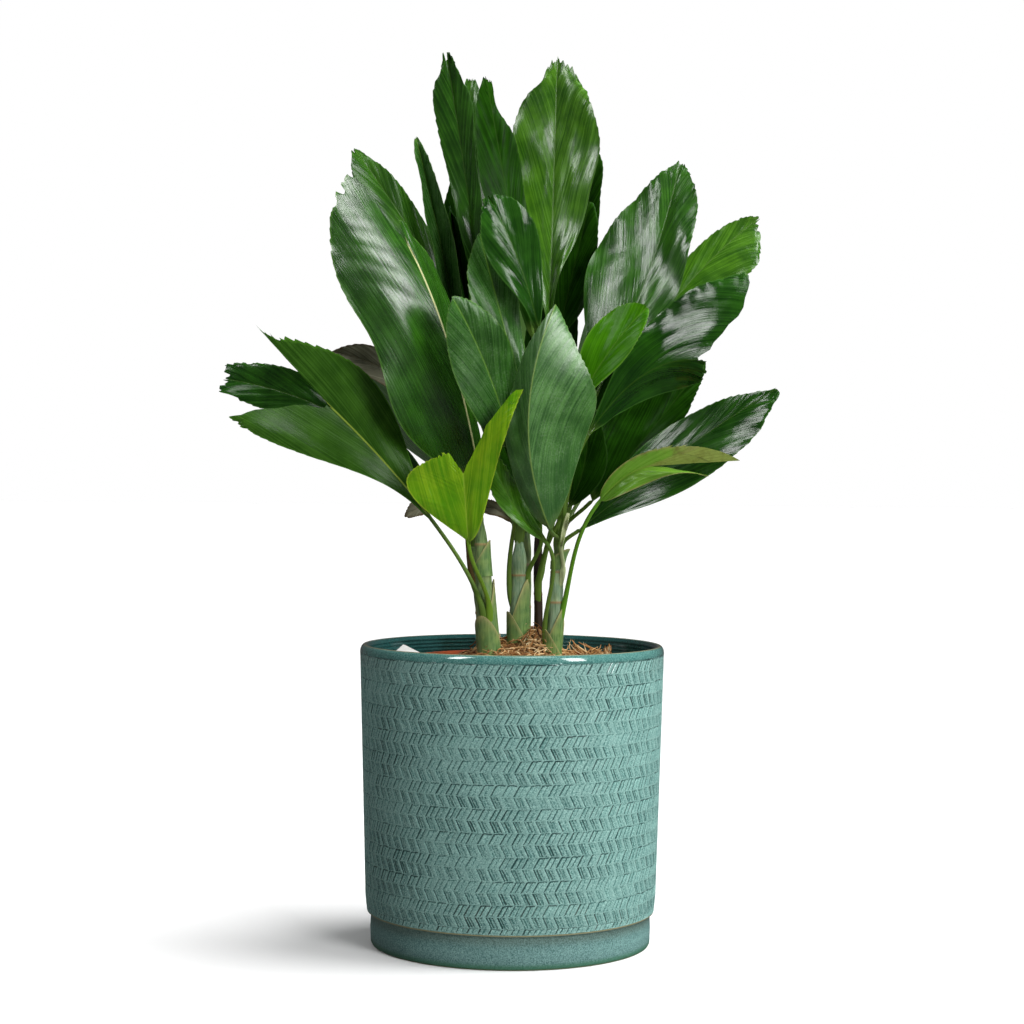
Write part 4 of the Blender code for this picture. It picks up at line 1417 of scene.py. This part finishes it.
@dataclass(frozen=True)
class Wing:
    """One half of a blade, spread from the midrib along its veins.

    reach is its width, fold its angle up from the blade's flat in degrees, out and on how far
    its apex lies beside and past the midrib's end, peak the place along the midrib where it is
    broadest, blunt how slowly it narrows (smaller is blunter) and bow how far the veins bulge.
    dents are places where the margin draws in: each its place, its width and its share. strip
    is the width that it has everywhere, which slims to strip_end, and onward the share of its
    width by which the veins run on along the midrib. Its widths are in millimetres.
    """

    reach: float
    fold: float = 12
    out: float = 0.0
    on: float = 0.0
    peak: float = 0.55
    blunt: float = 0.8
    bow: float = 0.06
    dents: tuple = ()
    strip: float = 1.7
    strip_end: float = 1.2
    onward: float = 0.35

    def spread(self, s: np.ndarray) -> tuple[np.ndarray, np.ndarray]:
        """How far the wing's veins reach out from the midrib and on along it.

        Out is the plain strip plus the reach times a sine hump plus the apex's share squared,
        less a bell-shaped share of itself at each dent. On is the onward share of the hump
        plus the apex's share to the power of one and a half.

        Args:
            s: places along the midrib, from 0 to 1.

        Returns:
            The reach out, and the reach on, in metres.
        """
        hump = np.clip(np.sin(math.pi * s ** (math.log(0.5) / math.log(self.peak))), 0, 1)
        broad = self.reach * hump ** self.blunt
        out = self.strip + (self.strip_end - self.strip) * s + broad + self.out * s**2
        for place, width, share in self.dents:
            out = out * (1 - share * np.exp(-((s - place) / width) ** 2))
        return out * MM, (self.onward * broad + self.on * s**1.5) * MM


@dataclass
class Leaf:
    """A leaf: its cane, its midrib's three points in millimetres, its wings and its skin.

    The right wing is like the left one unless it is given. height is where the stalk leaves
    the cane, or None for the cane's top, and heading is the stalk's side of the cane in
    degrees from -Y towards +X. turn and tilt say where the blade's
    face looks, droop is the share of its width by which a margin hangs and wave how far the
    margins swing in metres. In millimetres, pleat, swell and pucker are the depths of the
    folds, of the slow waves and of the short waves between the folds, tooth is the depth of
    the teeth, tatter that of a torn end's cuts, and curl how far the tip bends back. A vein
    runs on by vein_slant for each millimetre out. slot is a material slot of its own, if
    given, and nothing here reads it.
    """

    name: str
    cane: str
    height: float | None
    heading: float
    base: tuple
    middle: tuple
    tip: tuple
    left: Wing
    right: Wing | None = None
    turn: float = 0
    tilt: float = 15
    droop: float = 0.10
    wave: float = 0.0025
    skin: Skin = Skin.MID
    slot: Slot | None = None
    stalk_radius: float = 0.0019
    clasp: float = 0.016
    pleat: float = 0.32
    pleats: int = 13
    swell: float = 2.2
    tooth: float = 1.2
    tatter: float = 0.0
    curl: float = 0.0
    pucker: float = 0.30
    fine: bool = True
    thickness: float = 0.00055
    rib_depth: float = 0.0011
    vein_slant: float = 3.2
    # Folds stand this many times closer across the veins than along the midrib
    pleat_crowding: float = 2.2
    # Millimetres that a slow wave is long and wide, and that a short one is wide and long
    swell_size: tuple = (70, 55)
    pucker_size: tuple = (11, 48)
    # The groove's depth and the half widths of it, of the keel below it and of the mitre
    groove: float = 0.25
    rib_width: float = 1.0
    keel_width: float = 1.1
    mitre_width: float = 1.2
    # How far the left wing's vein pattern is set off from the right one's, in millimetres
    left_offset: float = 300
    clasp_points: int = 7
    stalk_points: int = 25
    # What the skin reads on the stalk, in millimetres: off the rib, before the blade where the
    # stalk starts, and in from the margin
    stalk_marks: tuple = (4, -30, 20)

    def seeded(self) -> np.random.Generator:
        """The leaf's own source of chance, the same at each run."""
        return np.random.default_rng(sum(ord(c) * (i + 1) for i, c in enumerate(self.name)))

    def places(self) -> np.ndarray:
        """Places along the midrib from 0 to 1, closer together towards the tip."""
        return 1 - (1 - np.linspace(0, 1, 97 if self.fine else 49)) ** 1.25

    def midrib(self, s: np.ndarray) -> tuple[np.ndarray, np.ndarray]:
        """The midrib: the quadratic curve through its three points.

        Args:
            s: places along it, from 0 to 1.

        Returns:
            Points, and the directions there.
        """
        base, middle, tip = np.array([self.base, self.middle, self.tip]) * MM
        bend = 2 * middle - (base + tip) / 2
        s = s[:, None]
        points = (1 - s)**2 * base + 2 * s * (1 - s) * bend + s**2 * tip
        return points, unit((1 - s) * (bend - base) + s * (tip - bend))

    def teeth(self, rng: np.random.Generator, s: np.ndarray, out: np.ndarray) -> np.ndarray:
        """The share by which the margin is drawn in, row by row.

        The margin widens row by row and then steps back, which makes forward teeth, each of
        its own random depth, and a tattered tip adds deeper random cuts.

        Args:
            rng: the leaf's source of chance.
            s: places along the midrib.
            out: the wing's reach there.

        Returns:
            Shares to take off the reach, from 0 to 0.4.
        """
        rows = np.arange(len(s))
        every = 4 if self.fine else 3
        saw = (rows % every) / every
        depth = rng.uniform(0.35, 1.0, len(s))[rows // every] * self.tooth * MM
        cut = depth * (1 - saw) * smooth_step(0.35, 0.70, s)
        torn = rng.uniform(0, 1, len(s))[rows // 3] ** 2 * self.tatter * MM
        cut = cut + torn * smooth_step(0.80, 0.95, s)
        return np.minimum(cut / np.maximum(out, 1e-4), 0.4)

    def relief(self, rng: np.random.Generator, s: np.ndarray, t: np.ndarray,
               reach: np.ndarray, veins: tuple[np.ndarray, np.ndarray],
               length: float) -> np.ndarray:
        """How far the blade's points stand off its plain shape, along its normal.

        It adds folds that follow the veins, as a power of a cosine across them, slow random
        waves, short random waves drawn out along the veins, and the midrib's groove, a bell
        1 mm wide.

        Args:
            rng: the leaf's source of chance.
            s: places along the midrib, as a column.
            t: places across, from -1 at the left margin to 1 at the right one, as a row.
            reach: how far each point lies out from the midrib, in millimetres.
            veins: millimetres across the veins and along them.
            length: the midrib's length in millimetres.

        Returns:
            The height of each point, in metres.
        """
        vein, run = veins
        away, sign = np.abs(t), np.where(t < 0, -1.0, 1.0)
        period = length / self.pleats / self.pleat_crowding
        hold = smooth_step(0.03, 0.3, away) * (1 - 0.35 * away)
        pleated = np.abs(np.cos(math.pi * vein / period + sign)) ** 1.4 - 0.5
        slow_long, slow_wide = self.swell_size
        short_wide, short_long = self.pucker_size
        slow = ripple(rng, s * length / slow_long, sign * reach / slow_wide, 6, 1.1)
        local = ripple(rng, vein / short_wide, run / short_long, 8, 1.2)
        groove = self.groove * np.exp(-(reach / self.rib_width) ** 2) * (1 - 0.6 * s)
        lift = (self.pleat * pleated + self.pucker * local) * hold + self.swell * slow * away
        return (lift - groove) * MM

    def blade(self) -> tuple[np.ndarray, dict[str, np.ndarray], np.ndarray]:
        """The blade's loops, out along a pair of veins at each place on the midrib.

        A point lies at midrib + t (out times the wing's slope + on times the midrib's
        direction), t being 0 at the midrib and 1 at the margin. To that come a bulge of the
        veins along the midrib, 4 t (1 - t) times the bow, a wave that grows with t, and a
        droop that grows with its square. A torn end's points are moved back along the midrib,
        all are moved along their normals by the relief, and the tip is bent back by the curl
        times s to the power of 2.4.

        Returns:
            Loops as (place, point, xyz), the point attributes, and the side direction.
        """
        rng = self.seeded()
        s = self.places()
        half = FINE_ACROSS if self.fine else COARSE_ACROSS
        t = np.concatenate([-half[:0:-1], half])[None, :]
        away, sign, is_left = np.abs(t), np.where(t < 0, -1.0, 1.0), t < 0
        points, along = self.midrib(s)
        side = unit(np.cross(along, bearing(self.turn, self.tilt)))
        over = np.cross(side, along)[:, None]
        left, right = self.left, self.right or self.left
        (out_l, on_l), (out_r, on_r) = left.spread(s), right.spread(s)
        out = np.where(is_left, out_l[:, None], out_r[:, None])
        on = np.where(is_left, on_l[:, None], on_r[:, None])
        cut = np.where(is_left, self.teeth(rng, s, out_l)[:, None],
                       self.teeth(rng, s, out_r)[:, None])
        cut = 1 - cut * smooth_step(0.86, 1.0, away)
        fold = np.radians(np.where(is_left, left.fold, right.fold))[..., None]
        sideways = sign[..., None] * side[:, None]
        slope = sideways * np.cos(fold) + over * np.sin(fold)
        normal = over * np.cos(fold) - sideways * np.sin(fold)
        bulge = np.where(is_left, left.bow, right.bow) * np.hypot(out, on)
        torn = rng.uniform(0, 1.3, t.size) * self.tatter * MM * smooth_step(0.88, 1, s)[:, None]
        onward = away * cut * on + bulge * 4 * away * (1 - away) - torn
        s = s[:, None]
        hang = self.wave * np.sin(3 * math.pi * s + sign) - self.droop * out * away
        place = points[:, None] + (away * cut * out)[..., None] * slope
        place = place + onward[..., None] * along[:, None] + (hang * away)[..., None] * over
        # Veins leave the midrib at a slant: along one, s length - slant reach stays the same
        length = np.linalg.norm(np.diff(points, axis=0), axis=1).sum() / MM
        reach = away * out / MM
        slant = math.hypot(1, self.vein_slant)
        vein, run = (s * length - self.vein_slant * reach) / slant, reach * slant
        lift = self.relief(rng, s, t, reach, (vein, run), length)
        # Both wings share one normal at the midrib, so that its groove isn't creased
        mitre = unit(normal[:, :1] + normal[:, -1:])
        near = np.exp(-(reach / self.mitre_width) ** 2)[..., None]
        normal = unit(normal * (1 - near) + mitre * near)
        place = place + lift[..., None] * normal - (self.curl * MM * s**2.4)[..., None] * over
        thin = self.thickness / 2 * (1 - 0.6 * smooth_step(0.8, 1.0, away))
        keel = self.rib_depth * (1 - 0.75 * s) * np.exp(-(reach / self.keel_width) ** 2)
        top = place + normal * thin[..., None]
        low = place - normal * (thin + keel)[..., None]
        chance = np.full_like(run, rng.uniform(0, 50))
        veins = np.stack([vein + self.left_offset * is_left, run, chance], axis=-1)
        spots = np.stack([reach, s * length + 0 * reach, (1 - away) * out / MM], axis=-1)
        attributes = {
            "veins": np.concatenate([veins, veins[:, ::-1]], axis=1),
            "place": np.concatenate([spots, spots[:, ::-1]], axis=1),
            "under": np.concatenate([0 * reach, 0 * reach + 1], axis=1),
        }
        return np.concatenate([top, low[:, ::-1]], axis=1), attributes, side[0]

    def stalk_path(self, cane: Cane) -> np.ndarray:
        """The stalk's middle line: its clasp, then a cubic curve into the blade's base.

        The stalk leaves the cane's side, or stands on its top, rising with the cane. The
        clasp runs up inside the cane's skin and comes out of it along a parabola.

        Args:
            cane: the cane that carries it.

        Returns:
            Points from the clasp's foot to the blade.
        """
        outward, base = bearing(self.heading), np.array(self.base) * MM
        centre, radius = cane.axis(self.height or cane.top[2])
        off = radius + 0.2 * self.stalk_radius if self.height else 0.45 * radius
        foot = centre + outward * off
        down = 1 - np.linspace(0, 1, self.clasp_points + 1)[:-1, None]
        clasp = foot - cane.rise * self.clasp * down - outward * self.stalk_radius * 1.5 * down**2
        towards = unit((base - centre) * [1, 1, 0])
        start = unit(cane.rise + 0.10 * outward + 0.16 * towards)
        end = self.midrib(np.zeros(1))[1][0]
        reach = np.linalg.norm(base - foot) / 3
        t = np.linspace(0, 1, self.stalk_points)[:, None]
        curve = (1 - t)**3 * foot + 3 * t * (1 - t)**2 * (foot + start * reach)
        curve = curve + 3 * t**2 * (1 - t) * (base - end * reach) + t**3 * base
        return np.concatenate([clasp, curve])

    def stalk(self, cane: Cane, side: np.ndarray, count: int) -> np.ndarray:
        """The stalk's loops: flat ones at the clasp, which round off and narrow to the blade.

        A loop's points lie at the path's point plus the radius times the cosine of their
        angle across, times how flat the loop is, and the sine of it over.

        Args:
            cane: the cane that carries it.
            side: the blade's side direction at its base.
            count: points in each loop.

        Returns:
            Loops as (station, point, xyz).
        """
        path = self.stalk_path(cane)
        slopes = unit(np.gradient(path, axis=0))
        up = np.linspace(0, 1, self.clasp_points + 1)[:-1]
        t = np.linspace(0, 1, self.stalk_points)
        hold = np.cross(bearing(self.heading), cane.rise)
        hold = hold * (1 if hold @ side > 0 else -1)
        share = smooth_step(0.1, 0.8, np.concatenate([0 * up, t]))[:, None]
        across = side * share + hold * (1 - share)
        across = unit(across - (across * slopes).sum(axis=1, keepdims=True) * slopes)
        over = np.cross(across, slopes)
        upper = np.linspace(165, 15, count // 2)
        angle = np.radians(np.concatenate([upper, -upper[::-1]]))
        slim = np.interp(t, [0, 0.1, 0.3, 1], [1.25, 1.05, 0.88, 0.8])
        wide = self.stalk_radius * np.concatenate([0.6 + 0.65 * up, slim])
        flat = 1 + 0.7 * np.concatenate([1 - 0.6 * up, 0.4 * (1 - smooth_step(0, 0.2, t))])
        ring = (np.cos(angle)[None, :, None] * across[:, None] * flat[:, None, None]
                + np.sin(angle)[None, :, None] * over[:, None])
        return (path[:, None] + wide[:, None, None] * ring)[:-1]

    def build(self, canes: dict[str, Cane]) -> bpy.types.Object:
        """Builds the leaf as one closed solid, stalk and blade, and dresses it.

        Args:
            canes: the canes by name.

        Returns:
            The leaf, which replaces its CAD node.
        """
        blade, attributes, side = self.blade()
        stalk = self.stalk(canes[self.cane], side, blade.shape[1])
        piece = strip_solid(self.name.replace("leaf_", "blade_"), np.concatenate([stalk, blade]))
        below = np.tile(np.array(self.stalk_marks, dtype=float), (*stalk.shape[:2], 1))
        below[..., 1] *= np.linspace(1, 0, len(stalk))[:, None]
        below = {"veins": below, "place": below, "under": 0 * below[..., 0]}
        for name, values in attributes.items():
            joined = np.concatenate([below[name], values])
            put_attribute(piece, name, joined.reshape(-1, *joined.shape[2:]))
        piece.data.materials.append(self.skin.value.material())
        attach(piece, "root")
        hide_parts(self.name)
        return piece


LEAVES = (
    # The left-hand side
    Leaf("leaf_big_left", "cane_left", None, 180, (-26, -26, 366), (-47, -58, 459),
         (-75, -86, 537), Wing(71, 11, 18, 74, 0.42, 0.65, 0.08, ((0.40, 0.20, 0.24),)),
         Wing(45, -72, 2, 25), skin=Skin.RIBBED, pleat=0.5, pucker=0.55, curl=26, droop=0.0,
         swell=3.4, tatter=3),
    Leaf("leaf_upper_left", "cane_rear_left", None, 25, (-41, 36, 481), (-82, 28, 560),
         (-130, 20, 629), Wing(26, out=4), Wing(16, out=3, peak=0.38), turn=30, skin=Skin.MID,
         slot=Slot.BRIGHT, tatter=4),
    Leaf("leaf_pale_left", "cane_middle", None, 235, (-43, 26, 471), (-62, 22, 565),
         (-80, 14, 638), Wing(18, 58, peak=0.34), skin=Skin.POWDERY, tatter=2, fine=False),
    Leaf("leaf_slim_left", "cane_middle", None, 175, (-35, 38, 480), (-44, 36, 538),
         (-53, 34, 585), Wing(14, 74), skin=Skin.DEEP, fine=False),
    Leaf("leaf_arching_left", "cane_left", 0.262, 340, (-67, -30, 338), (-101, -40, 379),
         (-142, -50, 421), Wing(18, 10, 62, 52, 0.7), Wing(34, 10, 5, 88, blunt=1.45),
         skin=Skin.DULL, tatter=3),
    Leaf("leaf_shaded_left", "cane_rear_left", None, 326, (-74, 14, 370), (-150, 20, 420),
         (-234, 24, 444), Wing(11, out=15, peak=0.5), Wing(14, out=14, peak=0.5), tilt=22,
         tatter=5, pleat=0.6, skin=Skin.POLISHED),
    Leaf("leaf_rolled_left", "cane_rear_left", None, 268, (-55, 56, 405), (-100, 60, 450),
         (-150, 62, 468), Wing(17, 40, peak=0.45), Wing(14, 50), skin=Skin.WITHERED, fine=False),
    Leaf("leaf_young_left", "cane_left", 0.262, 20, (-34, -64, 318), (-36, -70, 344),
         (-38, -74, 370), Wing(40, 10, 11, 20, 0.50, 1.2), Wing(12, 20, 52, 64, 0.4, bow=0.12),
         skin=Skin.YOUNG, pleat=0.4, pucker=0.8, swell=3.4, tatter=2),
    Leaf("leaf_withered_left", "cane_rear_left", 0.285, 300, (-52, 20, 348), (-68, 10, 345),
         (-84, 0, 335), Wing(7, 40), skin=Skin.WITHERED, fine=False, pleat=0.2),
    # The tall middle
    Leaf("leaf_tall_left", "cane_middle", None, 295, (-23, 8, 480), (-38, 0, 594), (-55, -8, 701),
         Wing(15.5, 20, 4, peak=0.70, dents=((0.95, 0.06, 0.4),)), Wing(16, 20, 3, peak=0.66),
         turn=-30, skin=Skin.GLOSSY, slot=Slot.POWDERY, tatter=6, pleat=0.8, pucker=0.6),
    Leaf("leaf_tall_left_rear", "cane_green", None, 310, (-21, 54, 482), (-34, 58, 592),
         (-37, 56, 692), Wing(17, 20, 5, peak=0.65), Wing(14, 20, 4, peak=0.68), turn=30,
         tatter=3, skin=Skin.MID, slot=Slot.POWDERY),
    Leaf("leaf_tall_middle", "cane_dark", None, 300, (14, 22, 485), (-6, 18, 589), (-24, 12, 686),
         Wing(19, 10, 4, peak=0.6), Wing(14, 10, 6, -3, peak=0.5, dents=((0.88, 0.10, 0.55),)),
         turn=25, tatter=4, skin=Skin.DEEP),
    Leaf("leaf_tall_right", "cane_dark", None, 60, (28, 26, 484), (31, 44, 600), (34, 60, 713),
         Wing(34, 12, 10, -14, 0.60, 1.0, dents=((0.94, 0.05, 0.3),)),
         Wing(34, 12, 18, -18, 0.60, 1.1), turn=-25, swell=2.8, tatter=5, droop=0.04,
         skin=Skin.SATIN, pleat=0.6, pucker=0.8, slot=Slot.BRIGHT),
    Leaf("leaf_olive_right", "cane_green", None, 20, (30, 62, 491), (50, 70, 563), (68, 74, 634),
         Wing(14), Wing(18, peak=0.5), turn=-30, skin=Skin.DEEP, fine=False),
    Leaf("leaf_dark_right", "cane_dark", None, 180, (34, 46, 474), (48, 54, 536), (61, 56, 592),
         Wing(16), Wing(21, peak=0.45), turn=-30, skin=Skin.DEEP, fine=False),
    Leaf("leaf_centre_upper", "cane_middle", None, 85, (19, -18, 483), (5, -34, 532),
         (-13, -56, 581), Wing(19, 10, 6, 0, 0.6), Wing(20, -2, 6, 0, 0.6), turn=12, droop=0.03,
         skin=Skin.POLISHED, pleat=0.5, pucker=0.7, curl=18, tatter=4),
    Leaf("leaf_centre_dark", "cane_middle", None, 10, (9, -8, 426), (-11, -12, 495),
         (-28, -14, 558), Wing(22), Wing(18), turn=25, skin=Skin.POWDERY, pucker=0.6,
         slot=Slot.DEEP),
    Leaf("leaf_powder_left", "cane_middle", 0.276, 280, (0, -56, 389), (-20, -76, 449),
         (-40, -102, 498), Wing(26, 8, peak=0.42, blunt=0.6), Wing(24, 8, peak=0.46, blunt=0.7),
         turn=15, skin=Skin.POWDERY, curl=12),
    Leaf("leaf_front_centre", "cane_right", None, 340, (28, -56, 328), (11, -88, 410),
         (31, -84, 497), Wing(22, -42, peak=0.4), Wing(54, -16, peak=0.38), skin=Skin.FROSTED),
    Leaf("leaf_inner_left", "cane_green", None, 240, (-30, 66, 470), (-42, 70, 540),
         (-52, 70, 610), Wing(18), Wing(14), turn=30, skin=Skin.DEEP, fine=False),
    Leaf("leaf_inner_centre", "cane_green", None, 95, (22, 70, 400), (30, 76, 470), (36, 80, 545),
         Wing(24), turn=-25, skin=Skin.DEEP, fine=False),
    # The right-hand side
    Leaf("leaf_bright_right", "cane_right", None, 45, (49, -46, 423), (74, -50, 465),
         (102, -50, 498), Wing(22), Wing(14), turn=-25, skin=Skin.BRIGHT),
    Leaf("leaf_broad_right", "cane_dark", 0.296, 80, (69, -6, 441), (108, 10, 534),
         (133, 36, 623), Wing(50, 8, peak=0.40, blunt=0.9), Wing(28, 8, 5, -4, 0.50), turn=-25,
         skin=Skin.GLOSSY, pleat=0.5, pucker=0.55, swell=3.0, tatter=5),
    Leaf("leaf_upper_right", "cane_rear_right", None, 60, (85, 32, 452), (144, 42, 528),
         (200, 48, 580), Wing(15, 8, peak=0.6), Wing(24, 8, 14, -14, 0.65), skin=Skin.SATIN,
         pleat=0.5, pucker=0.55, tatter=5),
    Leaf("leaf_glossy_right", "cane_right", None, 178, (60, -26, 403), (101, -38, 447),
         (143, -58, 457), Wing(10, 6, 77, 22, bow=0.13), Wing(30, -56, 0, 6), skin=Skin.POLISHED,
         pleat=0.7, pucker=0.9, slot=Slot.POWDERY, swell=3.0, tatter=4),
    Leaf("leaf_inner_right", "cane_rear_right", None, 300, (47, 56, 370), (70, 60, 440),
         (90, 62, 505), Wing(30, peak=0.42), Wing(37, peak=0.36), turn=-30, skin=Skin.DEEP,
         fine=False),
    Leaf("leaf_striped_right", "cane_rear_right", None, 0, (63, 10, 349), (110, 14, 405),
         (152, 18, 460), Wing(34, 14, peak=0.36), Wing(18), turn=-20, tilt=25, pleat=0.6,
         skin=Skin.DEEP),
    Leaf("leaf_lower_right", "cane_right", None, 110, (52, -24, 326), (129, -48, 387),
         (199, -76, 435), Wing(24, 8, peak=0.48, blunt=1.15), Wing(31, 8, peak=0.55), tilt=35,
         skin=Skin.POLISHED, pleat=0.5, pucker=0.55, tatter=2),
    Leaf("leaf_young_right", "cane_right", 0.262, 70, (67, -64, 350), (86, -70, 368),
         (106, -74, 376), Wing(8, 20, -8, 74, 0.4), Wing(13, 20, 15, 45, 0.4), skin=Skin.FADING,
         pleat=0.4, pucker=0.6, tatter=2),
    # Small ones in front of the canes and between them
    Leaf("leaf_narrow_front", "cane_right", 0.242, 280, (23, -40, 319), (-3, -50, 351),
         (-20, -54, 393), Wing(9), pleat=0.4, pucker=0.9, swell=3, tooth=2.4, skin=Skin.SATIN,
         fine=False),
    Leaf("leaf_pale_rib", "cane_middle", 0.288, 80, (21, -14, 325), (6, -14, 359),
         (-10, -14, 396), Wing(13), Wing(11), turn=20, skin=Skin.DEEP, pleat=0.2, fine=False),
    Leaf("leaf_behind_front", "cane_dark", 0.280, 0, (44, -4, 345), (56, -12, 378),
         (59, -14, 424), Wing(13), Wing(20, peak=0.45), turn=-25, skin=Skin.DEEP, fine=False),
    Leaf("leaf_spear", "cane_right", 0.294, 50, (38, -25, 314), (40, -28, 326), (43, -29, 339),
         Wing(2, 60), skin=Skin.CREAM, stalk_radius=0.0018, pleat=0.0, swell=0.1, tooth=0,
         fine=False),
    Leaf("leaf_withered_rear", "cane_green", 0.306, 270, (-2, 44, 332), (-15, 42, 341),
         (-29, 40, 344), Wing(7, 30), Wing(6, 30), skin=Skin.WITHERED, fine=False, pleat=0.2),
    # The back
    Leaf("leaf_rear_low_left", "cane_rear_left", None, 210, (-62, 82, 370), (-105, 122, 420),
         (-150, 150, 448), Wing(26), turn=150, tilt=40),
    Leaf("leaf_rear_left", "cane_rear_left", None, 150, (-45, 80, 420), (-66, 116, 490),
         (-88, 138, 550), Wing(32), turn=165, tilt=30),
    Leaf("leaf_rear_centre", "cane_green", None, 170, (2, 84, 440), (2, 112, 530), (-4, 130, 610),
         Wing(34), turn=180, tilt=25, skin=Skin.BRIGHT),
    Leaf("leaf_rear_right", "cane_rear_right", None, 180, (52, 86, 420), (80, 118, 486),
         (108, 138, 530), Wing(30), turn=195, tilt=30),
    Leaf("leaf_rear_low_right", "cane_rear_right", None, 120, (72, 74, 372), (112, 108, 415),
         (150, 134, 442), Wing(24), turn=210, tilt=40),
    Leaf("leaf_rear_low", "cane_green", 0.300, 180, (12, 96, 350), (14, 140, 395), (16, 178, 418),
         Wing(28), turn=180, tilt=45, skin=Skin.BRIGHT),
)


# Studio


@dataclass(frozen=True)
class Light:
    """A light of the studio, which looks at the plant's middle: a soft sun or a softbox.

    azimuth and elevation are its side, in degrees from -Y towards +X, and its height.
    energy is a sun's irradiance or a softbox's power in watts, softness a sun's angular width
    in degrees, and size a softbox's width and height in metres. fills says whether the light
    shows on matt surfaces, and gleams whether glossy ones mirror it.
    """

    name: str
    azimuth: float
    elevation: float
    energy: float
    softness: float = 0.0
    size: tuple = ()
    fills: bool = True
    gleams: bool = True
    distance: float = 2.0
    aim_height: float = 0.4

    def build(self) -> bpy.types.Object:
        """Puts the light in the scene.

        Returns:
            The light.
        """
        lamp = bpy.data.lights.new(self.name, "AREA" if self.size else "SUN")
        lamp.energy = self.energy
        if self.size:
            lamp.shape = "RECTANGLE"
            lamp.size, lamp.size_y = self.size
        else:
            lamp.angle = math.radians(self.softness)
        made = bpy.data.objects.new(self.name, lamp)
        bpy.context.scene.collection.objects.link(made)
        made.location = bearing(self.azimuth, self.elevation) * self.distance
        made.location[2] += self.aim_height
        made.rotation_euler = (math.radians(90 - self.elevation), 0, math.radians(self.azimuth))
        made.visible_diffuse = self.fills
        made.visible_glossy = self.gleams
        return made


@dataclass
class Studio:
    """The white studio: floor, world, lights and the camera at the photograph's angle.

    The camera's roll is in degrees, and it looks aside by a few of the frame's pixels.
    surround is the strength of the even light from all round.
    """

    camera_distance: float = 1.762
    camera_height: float = 0.3645
    camera_roll: float = -0.4
    camera_aside: float = 1.3
    focal_pixels: float = 2227
    horizon_pixel: float = 480
    frame_pixels: int = 1024
    sensor_width: float = 36
    floor_half: float = 30.0
    surround: float = 0.06
    lights: tuple = (
        Light("key_right", 100, 58, 4.1, softness=46, gleams=False),
        Light("fill_behind", -150, 48, 0.3, softness=60, gleams=False),
        Light("front_right_softbox", 33, 16, 27, size=(0.6, 1.1), gleams=False),
        Light("left_fill", -70, 60, 6.5, size=(0.8, 0.8), gleams=False),
        Light("right_strip", 49, 23, 19, size=(0.48, 1.1), fills=False),
        Light("top_softbox", 30, 68, 7, size=(0.8, 0.8)),
        Light("left_strip", -46, 38, 14, size=(0.34, 1.0), fills=False),
    )

    def build_floor(self) -> bpy.types.Object:
        """The pale floor: one wide square with a material of its own.

        Returns:
            The floor.
        """
        half = self.floor_half
        points = np.array([(-half, -half, 0), (half, -half, 0), (half, half, 0), (-half, half, 0)])
        floor = put_mesh("studio_floor", points, [(0, 1, 2, 3)])
        floor.data.materials.append(BackdropPaper().material())
        floor.visible_glossy = False
        return floor

    def build_world(self) -> None:
        """A white surround to the camera, and a dim even light to everything else."""
        world = bpy.data.worlds.new("studio_white")
        bpy.context.scene.world = world
        world.use_nodes = True
        add = partial(add_node, world.node_tree)
        both = add(Kind.MIX_LIGHT, add(Kind.CAMERA_RAY), add(Kind.GLOW, "ffffff", self.surround),
                   add(Kind.GLOW, "ffffff", 1.0))
        output = world.node_tree.nodes["World Output"]
        feed(world.node_tree, output.inputs["Surface"], both)

    def build_camera(self) -> bpy.types.Object:
        """The camera, level at the photograph's height, with the shift that frames it.

        Returns:
            The camera.
        """
        camera = bpy.data.cameras.new("photo_camera")
        camera.sensor_width = self.sensor_width
        camera.lens = self.focal_pixels / self.frame_pixels * self.sensor_width
        camera.shift_x = -self.camera_aside / self.frame_pixels
        camera.shift_y = (self.horizon_pixel - self.frame_pixels / 2) / self.frame_pixels
        made = bpy.data.objects.new("photo_camera", camera)
        bpy.context.scene.collection.objects.link(made)
        made.location = (0, -self.camera_distance, self.camera_height)
        made.rotation_euler = (math.pi / 2, math.radians(self.camera_roll), 0)
        bpy.context.scene.camera = made
        return made

    def build(self) -> None:
        """Builds the studio and sets the plain colour view that white paper needs."""
        self.build_floor()
        self.build_world()
        for light in self.lights:
            light.build()
        self.build_camera()
        bpy.context.scene.view_settings.view_transform = "Standard"
        bpy.context.scene.view_settings.look = "None"


def report(pieces: list[bpy.types.Object]) -> None:
    """Logs each piece's name and its number of triangles.

    Args:
        pieces: the pieces of one sub-assembly.
    """
    for piece in pieces:
        triangles = sum(len(face.vertices) - 2 for face in piece.data.polygons)
        LOG.info("%s: %d triangles", piece.name, triangles)


def main() -> None:
    """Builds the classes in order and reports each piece."""
    logging.basicConfig(level=logging.INFO, format="%(name)s %(message)s")
    report([Planter().build()])
    report(PotContents().build())
    for cane in CANES:
        report(cane.build())
    canes = {cane.name: cane for cane in CANES}
    report([leaf.build(canes) for leaf in LEAVES])
    Studio().build()


if __name__ == "__main__":
    main()
